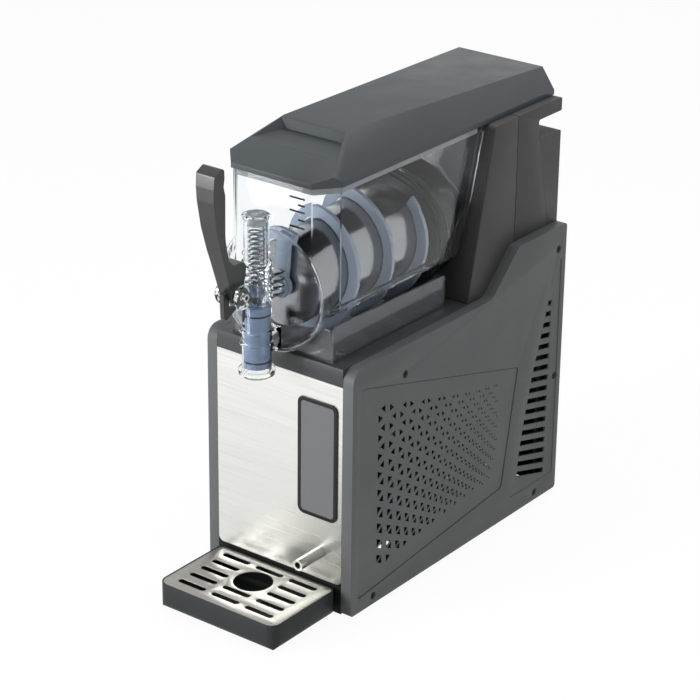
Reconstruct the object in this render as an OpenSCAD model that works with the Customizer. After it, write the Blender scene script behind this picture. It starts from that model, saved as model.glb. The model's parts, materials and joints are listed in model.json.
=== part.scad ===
// Single-bowl slush machine, counter-top size.
// Millimetres, +Z up, the tap faces -Y. The origin is at the middle of the machine's footprint.
// Inside the file, x = 0 is the middle plane, y = 0 the front of the side panels and
// z = 0 the bottom of the side panels. place() moves all of it onto the origin.

/* [Cabinet] */
// Width over the two side panels
body_w = 190; // [184:1:200]
// Depth of the side panels
body_d = 383.5; // [375:0.5:400]
// Height of the deck, and of the side panels at the front
deck_z = 278; // [272:1:284]
// Height of the side panels at the back
shoulder_z = 323.5; // [315:0.5:332]
// Length of the high shoulder along the back of a side panel
shoulder_l = 93.5; // [85:0.5:105]
// Length of the slope between deck and shoulder
slope_l = 48; // [40:1:60]
// Thickness of a side panel
side_t = 12.8; // [11:0.1:15]
// Wall of the moulded panels
skin_t = 3; // [2.5:0.1:3.4]
// Corner radius at the front top of a side panel
nose_r = 14; // [8:1:20]
// Height of the rubber feet
foot_h = 5; // [4:0.5:8]
// Radius of a rubber foot
foot_r = 11; // [9:0.5:13]
// Height of the dark strip under the steel front
plinth_h = 33; // [30:0.5:36]
// Thickness of the steel front
front_t = 1.2; // [0.8:0.1:1.5]
// Height of the deck's front lip
lip_h = 19.3; // [16:0.1:22]

/* [Side grilles] */
// Distance of a grille from the front of its panel
grille_front = 12; // [10:0.5:16]
// Height of a grille at its front
grille_top = 256.5; // [248:0.5:260]
// Distance from the back corner of a grille to the back of its panel
grille_margin = 85.8; // [84.6:0.1:95]
// Height of that back corner
grille_back_z = 180; // [170:1:190]
// Height of a grille's lower edge at its front
grille_foot = 16; // [14:0.5:20]
// Height of a grille's lower edge at its back
grille_foot_back = 42; // [36:1:50]
// Height of the largest triangular holes
hole_h = 9.3; // [6:0.1:9.5]
// Spacing of the first two columns of holes
hole_pitch = 18.2; // [17:0.1:19]
// Number of slots at the back of a side panel
slot_n = 17; // [8:1:17]
// Height of a slot
slot_h = 6; // [3.5:0.1:6.5]

/* [Display and drain] */
// Width of the display frame
display_w = 51; // [46:0.5:56]
// Height of the display frame
display_h = 133; // [110:0.5:136]
// Distance from the middle of the display to the side edge of the steel front
display_inset = 31; // [30:0.5:38]
// Height of the middle of the display
display_z = 169.6; // [160:0.1:175]
// Radius of the drain tube
drain_r = 6; // [5.4:0.1:7]
// Distance from the drain tube to the side of the condensate tray
drain_inset = 10.7; // [9:0.1:16]
// Height of the drain tube
drain_z = 64; // [58:0.5:72]
// How far the drain tube stands out of the front
drain_l = 37; // [25:1:45]

/* [Drip tray] */
// Width of the drip tray
tray_w = 155.2; // [146:0.2:162]
// Distance from the front panel to the front of the drip tray
tray_out = 104.7; // [98:0.1:112]
// Height of the drip tray
tray_h = 30.8; // [27:0.1:34]
// Wall of the drip tray
tray_t = 2.6; // [2.2:0.1:3.2]
// Corner radius of the drip tray
tray_r = 12; // [9:0.5:14]
// Length of a slot in the drip grid
grid_slot_l = 35.5; // [30:0.5:38]
// Width of a slot in the drip grid
grid_slot_w = 7.4; // [5:0.1:9]
// Radius of the hole under the tap
grid_hole_r = 21; // [17:0.5:22]

/* [Bowl and drum] */
// Height of the drum's axis
axis_z = 347; // [345:0.5:350]
// Radius of the cold drum
drum_r = 44; // [41:0.5:46]
// Distance from the front plane to the front of the drum
drum_front = 10; // [8:0.5:14]
// Distance from the back of the drum to the foot of the tower
drum_gap = 24.6; // [20.6:0.1:28.6]
// Outer radius of the auger
auger_r = 56.5; // [54:0.25:58]
// Pitch of the auger
auger_pitch = 58; // [50:1:70]
// Radius inside the bowl's round trough
trough_r = 59.5; // [58.6:0.1:60.5]
// Wall of the bowl
bowl_t = 3; // [2.4:0.1:3.4]
// Height of the bowl's rim
rim_z = 467; // [460:0.5:472]
// Height of the bowl's flat shoulder over the trough
shelf_z = 331.5; // [329:0.5:334]
// Radius of the round plate that carries the tap
disc_r = 64.5; // [63.8:0.1:66]
// Thickness of that plate
disc_t = 3.5; // [3:0.1:5]

/* [Lid] */
// Width of the lid over its rim
lid_w = 142; // [138:0.5:146]
// Width of the lid's front edge
lid_front_w = 101; // [94:0.5:106]
// How far the lid stands out in front of the front plane
lid_out = 13; // [11:0.5:16]
// Height of the lid's upright rim
lid_rim_h = 5.5; // [4.5:0.1:7]
// Rise of the lid's top over its rim at the front
lid_rise = 33.5; // [28:0.5:38]
// Rise of the lid's top over its rim at the back
lid_rise_back = 22.8; // [18:0.2:27]
// Wall of the lid
lid_t = 2.8; // [2.2:0.1:3.2]

/* [Tap] */
// Distance from the front plane to the tap's axis
tap_out = 35; // [34:0.25:38]
// Outer radius of the tap barrel
barrel_r = 15; // [14.8:0.1:16]
// Radius of the piston's bore
bore_r = 13.3; // [12.6:0.05:13.4]
// Height of the barrel's open end
spout_z = 262.5; // [258:0.5:266]
// Height of the barrel's shoulder
barrel_top = 385; // [382:0.5:392]
// Height of the top of the spring housing
housing_top = 434; // [430:0.5:442]
// Outer radius of the spring housing
housing_r = 12.8; // [12.4:0.1:14]
// Distance from the tap's axis to the lever's pivot
pivot_out = 35; // [34:0.25:37]
// Height of the lever's pivot
pivot_z = 361; // [360:0.25:363]
// Swing of the lever from closed to open, in degrees
lever_swing = 55; // [40:1:58]
// Mean radius of the closing spring
spring_r = 7.6; // [7.1:0.1:7.9]
// Radius of the spring wire
wire_r = 0.9; // [0.7:0.05:1.1]
// Turns of the closing spring
spring_turns = 12.5; // [9:0.5:14]

/* [Tower] */
// Height of the tower's top
tower_top = 464.7; // [460:0.1:464.7]
// Length of the tower at its foot
tower_l = 168.9; // [166:0.1:171]
// Length of the tower at its top
tower_top_l = 126.5; // [124:0.5:128]
// Length of the back one of the two tower shells
seam_l = 84.5; // [78:0.5:93]

/* [Hidden] */

$fn = 96;
// One overrun for every cut
over = 1;
// Running clearance of a shaft or piston
run_gap = 0.05;
// Clearance between bodies that slide past each other
slide_gap = 0.5;
// Clearance at a seat of two moulded pieces
seat_gap = 0.3;
// Clearance of a shell or a sheet inside the side panels
panel_gap = 0.2;
sheet_gap = 0.4;
half_w = body_w/2;
inner_w = half_w - side_t;
front_w = inner_w - panel_gap;
display_x = front_w - display_inset;
catch_w = 65;
drain_x = catch_w - drain_inset;
grille_back = body_d - grille_margin;
tower_foot = body_d - tower_l;
tower_brow = body_d - tower_top_l;
seam_y = body_d - seam_l;
drum_back = tower_foot - drum_gap;
lever_out = 41.5;
lid_inset = 2.5;
front_reach = max(tap_out + pivot_out + lever_out, tray_out);
mid_y = (body_d - front_reach)/2;
bowl_front = -(lid_out - lid_inset);
disc_front = bowl_front - disc_t;

module place() { translate([0, -mid_y, foot_h]) children(); }

// Points of a polygon with its corners rounded; each corner has its own radius
half_turn = 180;
function unit(v) = v/norm(v);
function corner_arc(a, b, c, r, n = 6) =
    let (u = unit(a - b), v = unit(c - b), half = acos(max(-1, min(1, u*v)))/2,
         reach = min(r/tan(half), norm(a - b)/2, norm(c - b)/2), rr = reach*tan(half),
         m = b + unit(u + v)*rr/sin(half), s = atan2((b + u*reach - m)[1], (b + u*reach - m)[0]),
         e = atan2((b + v*reach - m)[1], (b + v*reach - m)[0]),
         d = e - s > half_turn ? e - s - half_turn*2 : e - s < -half_turn ? e - s + half_turn*2 : e - s)
    [for (i = [0:n]) m + rr*[cos(s + d*i/n), sin(s + d*i/n)]];
function rounded(p, r) = let (n = len(p)) [for (i = [0:n - 1])
    each r[i] > 0 ? corner_arc(p[(i + n - 1)%n], p[i], p[(i + 1)%n], r[i]) : [p[i]]];

// A polygon drawn in by a distance; its points run counter-clockwise
function shifted_edge(a, b, d) = let (t = unit(b - a)) a + d*[-t[1], t[0]];
function crossing(p, u, q, v) = p + u*((q - p)[0]*v[1] - (q - p)[1]*v[0])/(u[0]*v[1] - u[1]*v[0]);
function drawn_in(p, d) = let (n = len(p)) [for (i = [0:n - 1])
    let (a = p[(i + n - 1)%n], b = p[i], c = p[(i + 1)%n])
    crossing(shifted_edge(a, b, d), b - a, shifted_edge(b, c, d), c - b)];

// Extrudes an outline given as (y, z) along X, from x0 to x1
module along_x(points, x0, x1)
    translate([x0, 0, 0]) rotate([90, 0, 90]) linear_extrude(x1 - x0) polygon(points);
// A cylinder along X or along Y, from one coordinate to another
module rod_x(y, z, r, x0, x1) translate([x0, y, z]) rotate([0, 90, 0]) cylinder(r = r, h = x1 - x0);
module rod_y(x, z, r, y0, y1) translate([x, y0, z]) rotate([-90, 0, 0]) cylinder(r = r, h = y1 - y0);
module rod_z(x, y, r, z0, z1) translate([x, y, z0]) cylinder(r = r, h = z1 - z0);
module block(a, b) translate(a) cube(b - a);
module both_sides() { children(); mirror([1, 0, 0]) children(); }

// Side panels

kink_r = 8;
foot_corner_r = 4;
ledge_w = 3;
ledge_t = 1.6;
grille_t = 2.2;
grille_sink = 0.8;
grille_web = 0.9;
grille_rim = 5;
screw_r = 1.75;
screw_hole_r = 2;
screw_head_r = 3.9;
screw_head_h = 2.2;
screw_seat_r = 4.4;
screw_seat_depth = 2.6;
boss_r = 6;
screw_len = 8;

function side_outline() = [[0, 0], [body_d, 0], [body_d, shoulder_z], [body_d - shoulder_l, shoulder_z],
    [body_d - shoulder_l - slope_l, deck_z], [0, deck_z]];
side_radii = [foot_corner_r, foot_corner_r, foot_corner_r, kink_r, kink_r*2, nose_r];
inner_radii = [for (r = side_radii) max(r - skin_t, 1)];

grille_foot_gap = 24.7;
grille_foot_back_y = grille_back - grille_foot_gap;
function grille_outline() = [[grille_front, grille_foot], [grille_foot_back_y, grille_foot_back],
    [grille_back, grille_back_z], [grille_front, grille_top]];
grille_r = 8;
grille_radius_shares = [0.375, 0.75, 0.5, 1];
grille_radii = grille_r*grille_radius_shares;
ledge_radius_share = 1.5;

// Screws of one side: distance from the front and height
screw_front_y = 87.6;
screw_deck_drop = 31.7;
screw_pan_y = 38.3;
screw_pan_z = 9.8;
screw_pan_back = 43.1;
screw_back_inset = 11;
screw_back_z = 143.2;
screw_tower_inset = 15.3;
screw_tower_drop = 26.9;
screw_places = [[screw_front_y, deck_z - screw_deck_drop], [screw_pan_y, screw_pan_z],
    [body_d - screw_pan_back, screw_pan_z], [body_d - screw_back_inset, screw_back_z],
    [body_d - screw_tower_inset, shoulder_z - screw_tower_drop]];

// Slots at the back: all slope down to the back, the lowest most
slot_low_z = 31;
slot_span = 205;
slot_tilt = 16;
slot_tilt_fade_share = 0.4;
slot_margin = 23.5;
slot_low_margin = 25.5;
slot_back = body_d - slot_margin;
slot_back_low = body_d - slot_low_margin;
slot_reach_low = 81.5;
slot_reach_high = 31.5;
slot_curve_share = 1.35;
module back_slots() {
    for (i = [0:slot_n - 1]) {
        share = slot_n > 1 ? i/(slot_n - 1) : 0;
        y0 = body_d - slot_reach_low + (slot_reach_low - slot_reach_high)*pow(share, slot_curve_share);
        y1 = slot_back_low + (slot_back - slot_back_low)*share;
        translate([half_w - side_t - over, y1, slot_low_z + slot_span*share])
            rotate([-slot_tilt*(1 - slot_tilt_fade_share*share), 0, 0]) translate([0, y0 - y1, -slot_h/2])
                cube([side_t + over*2, y1 - y0, slot_h]);
    }
}

// The surface behind the slots' field lies a little lower
crease_depth = 0.7;
crease_low_reach = 91.5;
crease_mid_reach = 57.1;
crease_mid_z = 162.7;
crease_high_reach = 10.5;
crease_low_z = 22;
crease_top_drop = 40;
crease_margin = 8;
module vent_field() {
    top = shoulder_z - crease_top_drop;
    along_x([[body_d - crease_low_reach, crease_low_z], [body_d - crease_margin, crease_low_z],
        [body_d - crease_margin, top], [body_d - crease_high_reach, top], [body_d - crease_mid_reach,
            crease_mid_z]],
        half_w - crease_depth, half_w + over);
}

module side_panel() {
    difference() {
        union() {
            along_x(rounded(side_outline(), side_radii), half_w - skin_t, half_w);
            difference() {
                along_x(rounded(side_outline(), side_radii), inner_w, half_w - skin_t);
                along_x(rounded(drawn_in(side_outline(), skin_t), inner_radii), inner_w - over, half_w);
            }
            along_x(rounded(drawn_in(grille_outline(), -ledge_w), grille_radii*ledge_radius_share),
                half_w - skin_t - ledge_t, half_w - skin_t);
            for (p = screw_places) rod_x(p[0], p[1], boss_r, inner_w, half_w - skin_t);
        }
        along_x(rounded(grille_outline(), grille_radii), half_w - skin_t, half_w + over);
        along_x(rounded(drawn_in(grille_outline(), ledge_w), grille_radii), inner_w, half_w + over);
        for (p = screw_places) {
            rod_x(p[0], p[1], screw_hole_r, inner_w - over, half_w + over);
            rod_x(p[0], p[1], screw_seat_r, half_w - screw_seat_depth, half_w + over);
        }
        back_slots();
        vent_field();
    }
}
module right_side_panel() color("#565957") place() side_panel();
module left_side_panel() color("#565957") place() mirror([1, 0, 0]) side_panel();

// The field of paired triangular holes. The rows fan out from the front edge and close up towards
// the back, and the columns lean forward as they go down. In each pair one hole points forward and
// the other points back.
field_front_y = 43;
column_first = 16.4;
column_shrink_share = 0.925;
column_lean_share = 0.0155;
column_n = 21;
row_top = -9;
row_bottom = 9;
row_high = 232.1;
row_step = 22.6;
row_growth = 0.27;
row_fall_share = 0.822;
row_fall_step_share = 0.0485;
hole_w_share = 0.83;
hole_gap_share = 0.44;
hole_fade_l = 294;
hole_least = 2.4;
tilt_high_share = 0.5;
tilt_low_share = -0.15;
tilt_step_share = 0.17;
field_back_margin = 35.7;
field_edge_y = 56;
top_margin = 23.7;
top_margin_back = 15.5;
low_margin = 21.9;
forward_rise_share = 0.05;
// The two holes of a pair stand almost level
pair_fall_share = 0.24;
function column_y(j, i) = field_front_y + (column_first
    + hole_pitch*(1 - pow(column_shrink_share, j - 1))/(1 - column_shrink_share))*(1 - column_lean_share*i);
function row_z(i, y) = row_high - row_step*i + row_growth*i*i
    - (row_fall_share - row_fall_step_share*i)*(y - field_front_y);
// Height of the grille's upper and lower edge at a distance from the front
function grille_top_z(y)
    = grille_top - (grille_top - grille_back_z)*(y - grille_front)/(grille_back - grille_front);
function grille_low_z(y) = grille_foot
    + (grille_foot_back - grille_foot)*(y - grille_front)/(grille_foot_back_y - grille_front);
function in_field(y, z, forward) = let (back_y = grille_back - field_back_margin,
        share = (y - field_edge_y)/(back_y - field_edge_y))
    y < back_y && z < grille_top_z(y) - top_margin + (top_margin - top_margin_back)*share
    && z > grille_low_z(y) + low_margin + forward*forward_rise_share*(y - field_edge_y);
module hole_field() for (i = [row_top:row_bottom], j = [0:column_n - 1]) {
    y = column_y(j, i);
    h = hole_h*(1 - (y - field_front_y)/hole_fade_l);
    tilt = max(tilt_low_share, min(tilt_high_share, tilt_high_share - tilt_step_share*i));
    for (side = j == 0 ? [1] : [1, -1]) {
        base_y = y + side*h*hole_gap_share;
        z = row_z(i, y) - pair_fall_share*(base_y - y);
        if (h > hole_least && in_field(base_y, z, side < 0 ? 1 : 0))
            polygon([[base_y, z - h/2], [base_y, z + h/2], [base_y + side*h*hole_w_share,
                z - side*tilt*h/2]]);
    }
}
// The plate is thinner behind the field, inside its rim
module side_grille() {
    translate([half_w - skin_t, 0, 0]) rotate([90, 0, 90]) difference() {
        linear_extrude(grille_t) difference() {
            polygon(rounded(drawn_in(grille_outline(), grille_sink), grille_radii));
            hole_field();
        }
        translate([0, 0, -over]) linear_extrude(grille_t - grille_web + over)
            polygon(rounded(drawn_in(grille_outline(), ledge_w + grille_rim), grille_radii));
    }
}
module right_grille() color("#565957") place() side_grille();
module left_grille() color("#565957") place() mirror([1, 0, 0]) side_grille();

module side_screws() for (p = screw_places) {
    difference() {
        rod_x(p[0], p[1], screw_head_r, half_w - screw_seat_depth, half_w - screw_seat_depth + screw_head_h);
        screw_cross(p[0], p[1]);
    }
    rod_x(p[0], p[1], screw_r, inner_w - screw_len + side_t/2, half_w - screw_seat_depth);
}
cross_l = 4.4;
cross_w = 1;
cross_depth = 1.4;
module screw_cross(y, z) for (a = [0, 90])
    translate([half_w - screw_seat_depth + screw_head_h - cross_depth, y, z]) rotate([a, 0, 0])
        translate([0, -cross_l/2, -cross_w/2]) cube([cross_depth + over, cross_l, cross_w]);
module panel_screws() color("#3a3a3a") place() both_sides() side_screws();

// Base, feet, front and deck

pan_t = 1.2;
pan_flange_h = 22;
pan_w = inner_w - sheet_gap;
pan_front = 6;
pan_back = body_d - pan_front;
foot_inset_x = 26;
foot_inset_y = 40;
foot_screw_r = 2;
foot_screw_head_r = 4;
foot_places = [for (x = [-pan_w + foot_inset_x, pan_w - foot_inset_x],
    y = [pan_front + foot_inset_y, pan_back - foot_inset_y]) [x, y]];
module base_pan() color("#9a9c9e") place() difference() {
    union() {
        block([-pan_w, pan_front, 0], [pan_w, pan_back, pan_t]);
        both_sides() block([pan_w - pan_t, pan_front, 0], [pan_w, pan_back, pan_flange_h]);
    }
    for (f = foot_places) rod_z(f[0], f[1], foot_screw_r + run_gap*2, -over, pan_t + over);
    both_sides() for (y = [screw_pan_y, body_d - screw_pan_back])
        rod_x(y, screw_pan_z, screw_hole_r, pan_w - pan_t - over, pan_w + over);
    for (i = [0:vent_n - 1]) {
        x0 = vent_pitch*(i - vent_n/2);
        block([x0, vent_y, -over], [x0 + vent_w, vent_y + vent_l, pan_t + over]);
    }
}
vent_w = 6;
vent_l = 60;
vent_y = 98;
vent_pitch = 16;
vent_n = 5;
foot_taper = 2;
module feet() color("#202020") place() for (f = foot_places) {
    rod_z(f[0], f[1], foot_r, -foot_h + foot_taper, 0);
    translate([f[0], f[1], -foot_h]) cylinder(r1 = foot_r - foot_taper, r2 = foot_r, h = foot_taper);
    rod_z(f[0], f[1], foot_screw_r, 0, pan_t);
    rod_z(f[0], f[1], foot_screw_head_r, pan_t, pan_t + foot_taper);
}

front_top = deck_z - lip_h - sheet_gap;
front_corner_r = 6;
window_gap = 0.3;
function box_outline(w, h, r) = rounded([[-w/2, -h/2], [w/2, -h/2], [w/2, h/2], [-w/2, h/2]], [r, r, r, r]);
// Extrudes an outline given as (x, z) along Y, from y0 to y1
module along_y(points, y0, y1)
    translate([0, y1, 0]) rotate([90, 0, 0]) linear_extrude(y1 - y0) polygon(points);
module at_display() translate([display_x, 0, display_z]) children();
display_r = 8;
module front_panel() color("#dcdcda") place() difference() {
    along_y(rounded([[-front_w, plinth_h], [front_w, plinth_h], [front_w, front_top], [-front_w, front_top]],
        [front_corner_r, front_corner_r, 0, 0]), 0, front_t);
    at_display() along_y(box_outline(display_w - bezel_lap*2, display_h - bezel_lap*2, display_r - bezel_lap),
        -over, front_t + over);
    rod_y(drain_x, drain_z, drain_neck_r + run_gap*2, -over, front_t + over);
}
bezel_lap = 2;
bezel_t = 1.4;
bezel_w = 6.5;
bezel_depth = 6;
module display_frame() color("#3c3c3c") place() at_display() difference() {
    union() {
        along_y(box_outline(display_w, display_h, display_r), -bezel_t, 0);
        along_y(box_outline(display_w - (bezel_lap + window_gap)*2, display_h - (bezel_lap + window_gap)*2,
            display_r - bezel_lap - window_gap), 0, bezel_depth);
    }
    along_y(box_outline(display_w - bezel_w*2, display_h - bezel_w*2, display_r - bezel_w),
        -bezel_t - over, bezel_depth + over);
    along_y(box_outline(display_w - glass_rim*2, display_h - glass_rim*2, display_r - glass_rim),
        -bezel_t - over, -bezel_t + glass_t);
}
glass_rim = 4.4;
glass_t = 1;
module display_glass() color("#6d6d6d") place() at_display()
    along_y(box_outline(display_w - glass_rim*2 - run_gap*2, display_h - glass_rim*2 - run_gap*2,
        display_r - glass_rim), -bezel_t, -bezel_t + glass_t);
board_t = 1.6;
board_h = 110;
board_w = 44;
board_r = 2;
// Chips: place across and up, size and height, all of the board's width
chip_shares = [[-0.27, 0.68, 0.18, 0.07], [0.14, 0.18, 0.27, 0.11], [-0.18, -0.5, 0.32, 0.2],
    [0.23, -0.91, 0.16, 0.27]];
module control_board() color("#2f5d46") place() at_display() {
    along_y(box_outline(board_w, board_h, board_r), bezel_depth, bezel_depth + board_t);
    for (c = board_w*chip_shares) block([c[0] - c[2]/2, bezel_depth + board_t, c[1] - c[2]/2],
        [c[0] + c[2]/2, bezel_depth + board_t + c[3], c[1] + c[2]/2]);
}

plinth_t = 3;
tongue_w = 14;
tongue_t = 2.4;
tongue_l = 9;
tongue_x = 52;
tongue_z = 16;
module plinth() color("#3a3b3b") place() difference() {
    union() {
        block([-front_w, 0, 0], [front_w, plinth_t, plinth_h - panel_gap]);
        both_sides() block([front_w - plinth_t, 0, 0], [front_w, pan_front, plinth_h - panel_gap]);
    }
    both_sides() block([tongue_x - tongue_w/2 - slide_gap, -over, tongue_z - slide_gap],
        [tongue_x + tongue_w/2 + slide_gap, plinth_t + over, tongue_z + tongue_t + slide_gap]);
}

deck_t = 3;
deck_w = inner_w - sheet_gap;
deck_margin = 7;
deck_back = body_d - deck_margin;
skirt_t = 2;
skirt_drop = 38;
pipe_hole_r = 12;
pipe_hole_reach = 121.5;
pipe_hole_y = body_d - pipe_hole_reach;
pipe_hole_x = 36;
module deck() color("#4a4b4b") place() difference() {
    union() {
        block([-deck_w, 0, deck_z - deck_t], [deck_w, deck_back, deck_z]);
        block([-deck_w, 0, deck_z - lip_h], [deck_w, deck_t, deck_z]);
        both_sides() block([deck_w - skirt_t, 0, deck_z - skirt_drop], [deck_w, deck_back, deck_z]);
    }
    for (x = [-pipe_hole_x, pipe_hole_x]) rod_z(x, pipe_hole_y, pipe_hole_r, deck_z - deck_t - over,
        deck_z + over);
    rod_z(drain_x, hose_y, drain_r + slide_gap, deck_z - deck_t - over, deck_z + over);
    both_sides() rod_x(screw_front_y, deck_z - screw_deck_drop, screw_hole_r, deck_w - skirt_t - over,
        deck_w + over);
    block([-deck_w - over, -over, deck_z - skirt_drop - over], [deck_w + over, front_t + panel_gap,
        deck_z - lip_h]);
}

// Drain from the condensate tray to the front

hose_y = 30;
hose_r = 4.2;
drain_bore = 3.6;
drain_neck_r = 4.6;
drain_flange_r = 8;
drain_flange_t = 1.5;
drain_in = 12;
module drain_tube() color("#c9c9c9") place() difference() {
    union() {
        rod_y(drain_x, drain_z, drain_r, -drain_l, -seat_gap);
        rod_y(drain_x, drain_z, drain_neck_r, -seat_gap, drain_in);
        rod_y(drain_x, drain_z, drain_flange_r, front_t, front_t + drain_flange_t);
    }
    rod_y(drain_x, drain_z, drain_bore, -drain_l - over, drain_in + over);
}
module drain_hose() color("#b9bdc2") place() {
    difference() {
        union() {
            rod_z(drain_x, hose_y, hose_r, drain_z, deck_z);
            rod_y(drain_x, drain_z, hose_r, drain_in, hose_y);
            translate([drain_x, hose_y, drain_z]) sphere(r = hose_r);
        }
        rod_z(drain_x, hose_y, hose_bore, drain_z, deck_z + over);
        rod_y(drain_x, drain_z, hose_bore, drain_in - over, hose_y);
        translate([drain_x, hose_y, drain_z]) sphere(r = hose_bore);
    }
}
hose_bore = 2.8;

// Clear tray on the deck that catches the water running off the drum's neck

catch_front = 5;
catch_gap = 18.6;
catch_back = tower_foot - catch_gap;
catch_h = 39;
catch_h_back = 35;
catch_t = 2.2;
catch_r = 7;
catch_back_r = 2;
trough_out = trough_r + bowl_t;
module condensate_tray() color("#c8d0d4") place() difference() {
    along_x(rounded([[catch_front, deck_z], [catch_back, deck_z], [catch_back, deck_z + catch_h_back],
        [catch_front, deck_z + catch_h]], [0, 0, catch_back_r, catch_r]), -catch_w, catch_w);
    block([-catch_w + catch_t, catch_front + catch_t, deck_z + catch_t],
        [catch_w - catch_t, catch_back - catch_t, deck_z + catch_h + over]);
    rod_y(0, axis_z, max(trough_out, flange_r) + slide_gap*2, catch_front - over, catch_back + over);
    rod_z(drain_x, hose_y, hose_bore, deck_z - over, deck_z + catch_t + over);
}

// Rear tower in two shells, and the rear panel

tower_w = inner_w - panel_gap;
tower_t = 3;
tower_r = 8;
tower_margin = 1.5;
tower_back_y = body_d - tower_margin;
notch_l = 45;
notch_front = body_d - notch_l;
notch_r = 2;
notch_low = 428;
notch_high = 450;
function tower_outline() = [[tower_foot, deck_z], [tower_back_y, deck_z], [tower_back_y, notch_low],
    [notch_front, notch_low], [notch_front, notch_high], [tower_back_y, notch_high], [tower_back_y,
        tower_top],
    [tower_brow, tower_top]];
tower_radii = [0, 0, notch_r, notch_r, notch_r, notch_r, notch_r, tower_r];
neck_r = 58;
module tower_shell() difference() {
    along_x(rounded(tower_outline(), tower_radii), -tower_w, tower_w);
    along_x(drawn_in(tower_outline(), tower_t), -tower_w + tower_t, tower_w - tower_t);
    block([-tower_w + tower_t, tower_foot + tower_t*2, deck_z - over],
        [tower_w - tower_t, tower_back_y - tower_t, deck_z + tower_t*2]);
    rod_y(0, axis_z, neck_r + seat_gap, tower_foot - over, seam_y);
}
seam_gap = 0.3;
module tower_front() color("#4d4d4d") place() intersection() {
    tower_shell();
    block([-tower_w - over, tower_foot - over, deck_z - over], [tower_w + over, seam_y, tower_top + over]);
}
module tower_back() color("#4d4d4d") place() difference() {
    intersection() {
        tower_shell();
        block([-tower_w - over, seam_y + seam_gap, deck_z - over], [tower_w + over, body_d + over,
            tower_top + over]);
    }
    both_sides() rod_x(body_d - screw_tower_inset, shoulder_z - screw_tower_drop, screw_hole_r,
        tower_w - tower_t - over, tower_w + over);
    for (i = [0:tower_vent_n - 1]) block([-tower_vent_w/2, tower_back_y - tower_t - over,
        tower_vent_z + i*tower_vent_pitch],
        [tower_vent_w/2, tower_back_y + over, tower_vent_z + i*tower_vent_pitch + slot_h]);
}
tower_vent_n = 7;
tower_vent_w = 90;
tower_vent_z = 330;
tower_vent_pitch = 12;

rear_t = 1.5;
rear_w = inner_w - sheet_gap;
rear_top = deck_z - seat_gap;
rear_margin = 5;
rear_y = body_d - rear_margin;
rear_flange_l = 22;
rear_vent_n = 12;
rear_vent_w = 110;
rear_vent_z = 112;
rear_vent_pitch = 11;
module rear_panel() color("#4a4a4a") place() difference() {
    union() {
        block([-rear_w, rear_y, pan_t + seat_gap], [rear_w, rear_y + rear_t, rear_top]);
        both_sides() block([rear_w - rear_t, rear_y - rear_flange_l, pan_flange_h + seat_gap],
            [rear_w, rear_y, deck_z - skirt_drop - seat_gap]);
    }
    for (i = [0:rear_vent_n - 1]) block([-rear_vent_w/2, rear_y - over, rear_vent_z + i*rear_vent_pitch],
        [rear_vent_w/2, rear_y + rear_t + over, rear_vent_z + i*rear_vent_pitch + slot_h]);
    both_sides() rod_x(body_d - screw_back_inset, screw_back_z, screw_hole_r, rear_w - rear_t - over,
        rear_w + over);
    translate([inlet_x, 0, inlet_z]) block([-inlet_w/2 - run_gap, rear_y - over, -inlet_h/2 - run_gap],
        [inlet_w/2 + run_gap, rear_y + rear_t + over, inlet_h/2 + run_gap]);
    translate([switch_x, 0, inlet_z]) block([-switch_w/2 - run_gap, rear_y - over, -switch_h/2 - run_gap],
        [switch_w/2 + run_gap, rear_y + rear_t + over, switch_h/2 + run_gap]);
}

// Cold drum, its neck and the drive

shaft_r = 5;
drum_bore_r = 7;
flange_r = 61.8;
seal_seat_r = 55.5;
seal_t = 3.7;
seal_l = 10;
bowl_gap = 11.6;
bowl_back = tower_foot - bowl_gap;
flange_y = bowl_back + slide_gap;
flange_t = 4;
neck_l = 35.4;
neck_back = tower_foot + neck_l;
module evaporator_drum() color("#c6c6c4") place() difference() {
    rod_y(0, axis_z, drum_r, drum_front, drum_back);
    rod_y(0, axis_z, bush_r, drum_front - over, drum_front + bush_l);
    rod_y(0, axis_z, drum_bore_r, drum_front, drum_back + over);
}
bush_r = 9;
bush_l = 14;
bush_lip = 0.5;
module front_bush() color("#b08d57") place() difference() {
    rod_y(0, axis_z, bush_r, drum_front - bush_lip, drum_front + bush_l);
    rod_y(0, axis_z, shaft_r + run_gap, drum_front - over*2, drum_front + bush_l + over);
}
pipe_r = 4;
module drum_flange() color("#3b3d3f") place() difference() {
    union() {
        rod_y(0, axis_z, seal_seat_r, drum_back, flange_y + flange_t);
        rod_y(0, axis_z, flange_r, flange_y, flange_y + flange_t);
        rod_y(0, axis_z, neck_r, flange_y + flange_t, neck_back);
    }
    rod_y(0, axis_z, drum_bore_r, drum_back - over, neck_back + over);
    rod_y(0, axis_z, neck_r - tower_t, flange_y + flange_t + tower_t, neck_back + over);
}
module drum_seal() color("#2a2a2a") place() difference() {
    rod_y(0, axis_z, seal_seat_r + seal_t, flange_y - seal_l, flange_y);
    rod_y(0, axis_z, seal_seat_r, flange_y - seal_l - over, flange_y + over);
    for (i = [0, 1]) translate([0, flange_y - seal_l + seal_groove*seal_groove_shares[i], axis_z])
        rotate([-90, 0, 0])
        difference() {
            cylinder(r = seal_seat_r + seal_t + over, h = seal_groove);
            translate([0, 0, -over]) cylinder(r = seal_seat_r + seal_t - seal_groove_depth,
                h = seal_groove + over*2);
        }
}
seal_groove = 2;
seal_groove_depth = 1;
seal_groove_shares = [1.5, 4];
bracket_t = 3;
bracket_inset = 13;
bracket_w = tower_w - tower_t - bracket_inset;
bracket_h = 66;
bracket_foot_l = 30;
bracket_y = neck_back;
gearbox_w = 62;
gearbox_h = 68;
gearbox_l = 34;
gearbox_drop = 12;
gearbox_r = 10;
gear_boss_r = 12;
gear_boss_t = 2;
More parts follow.
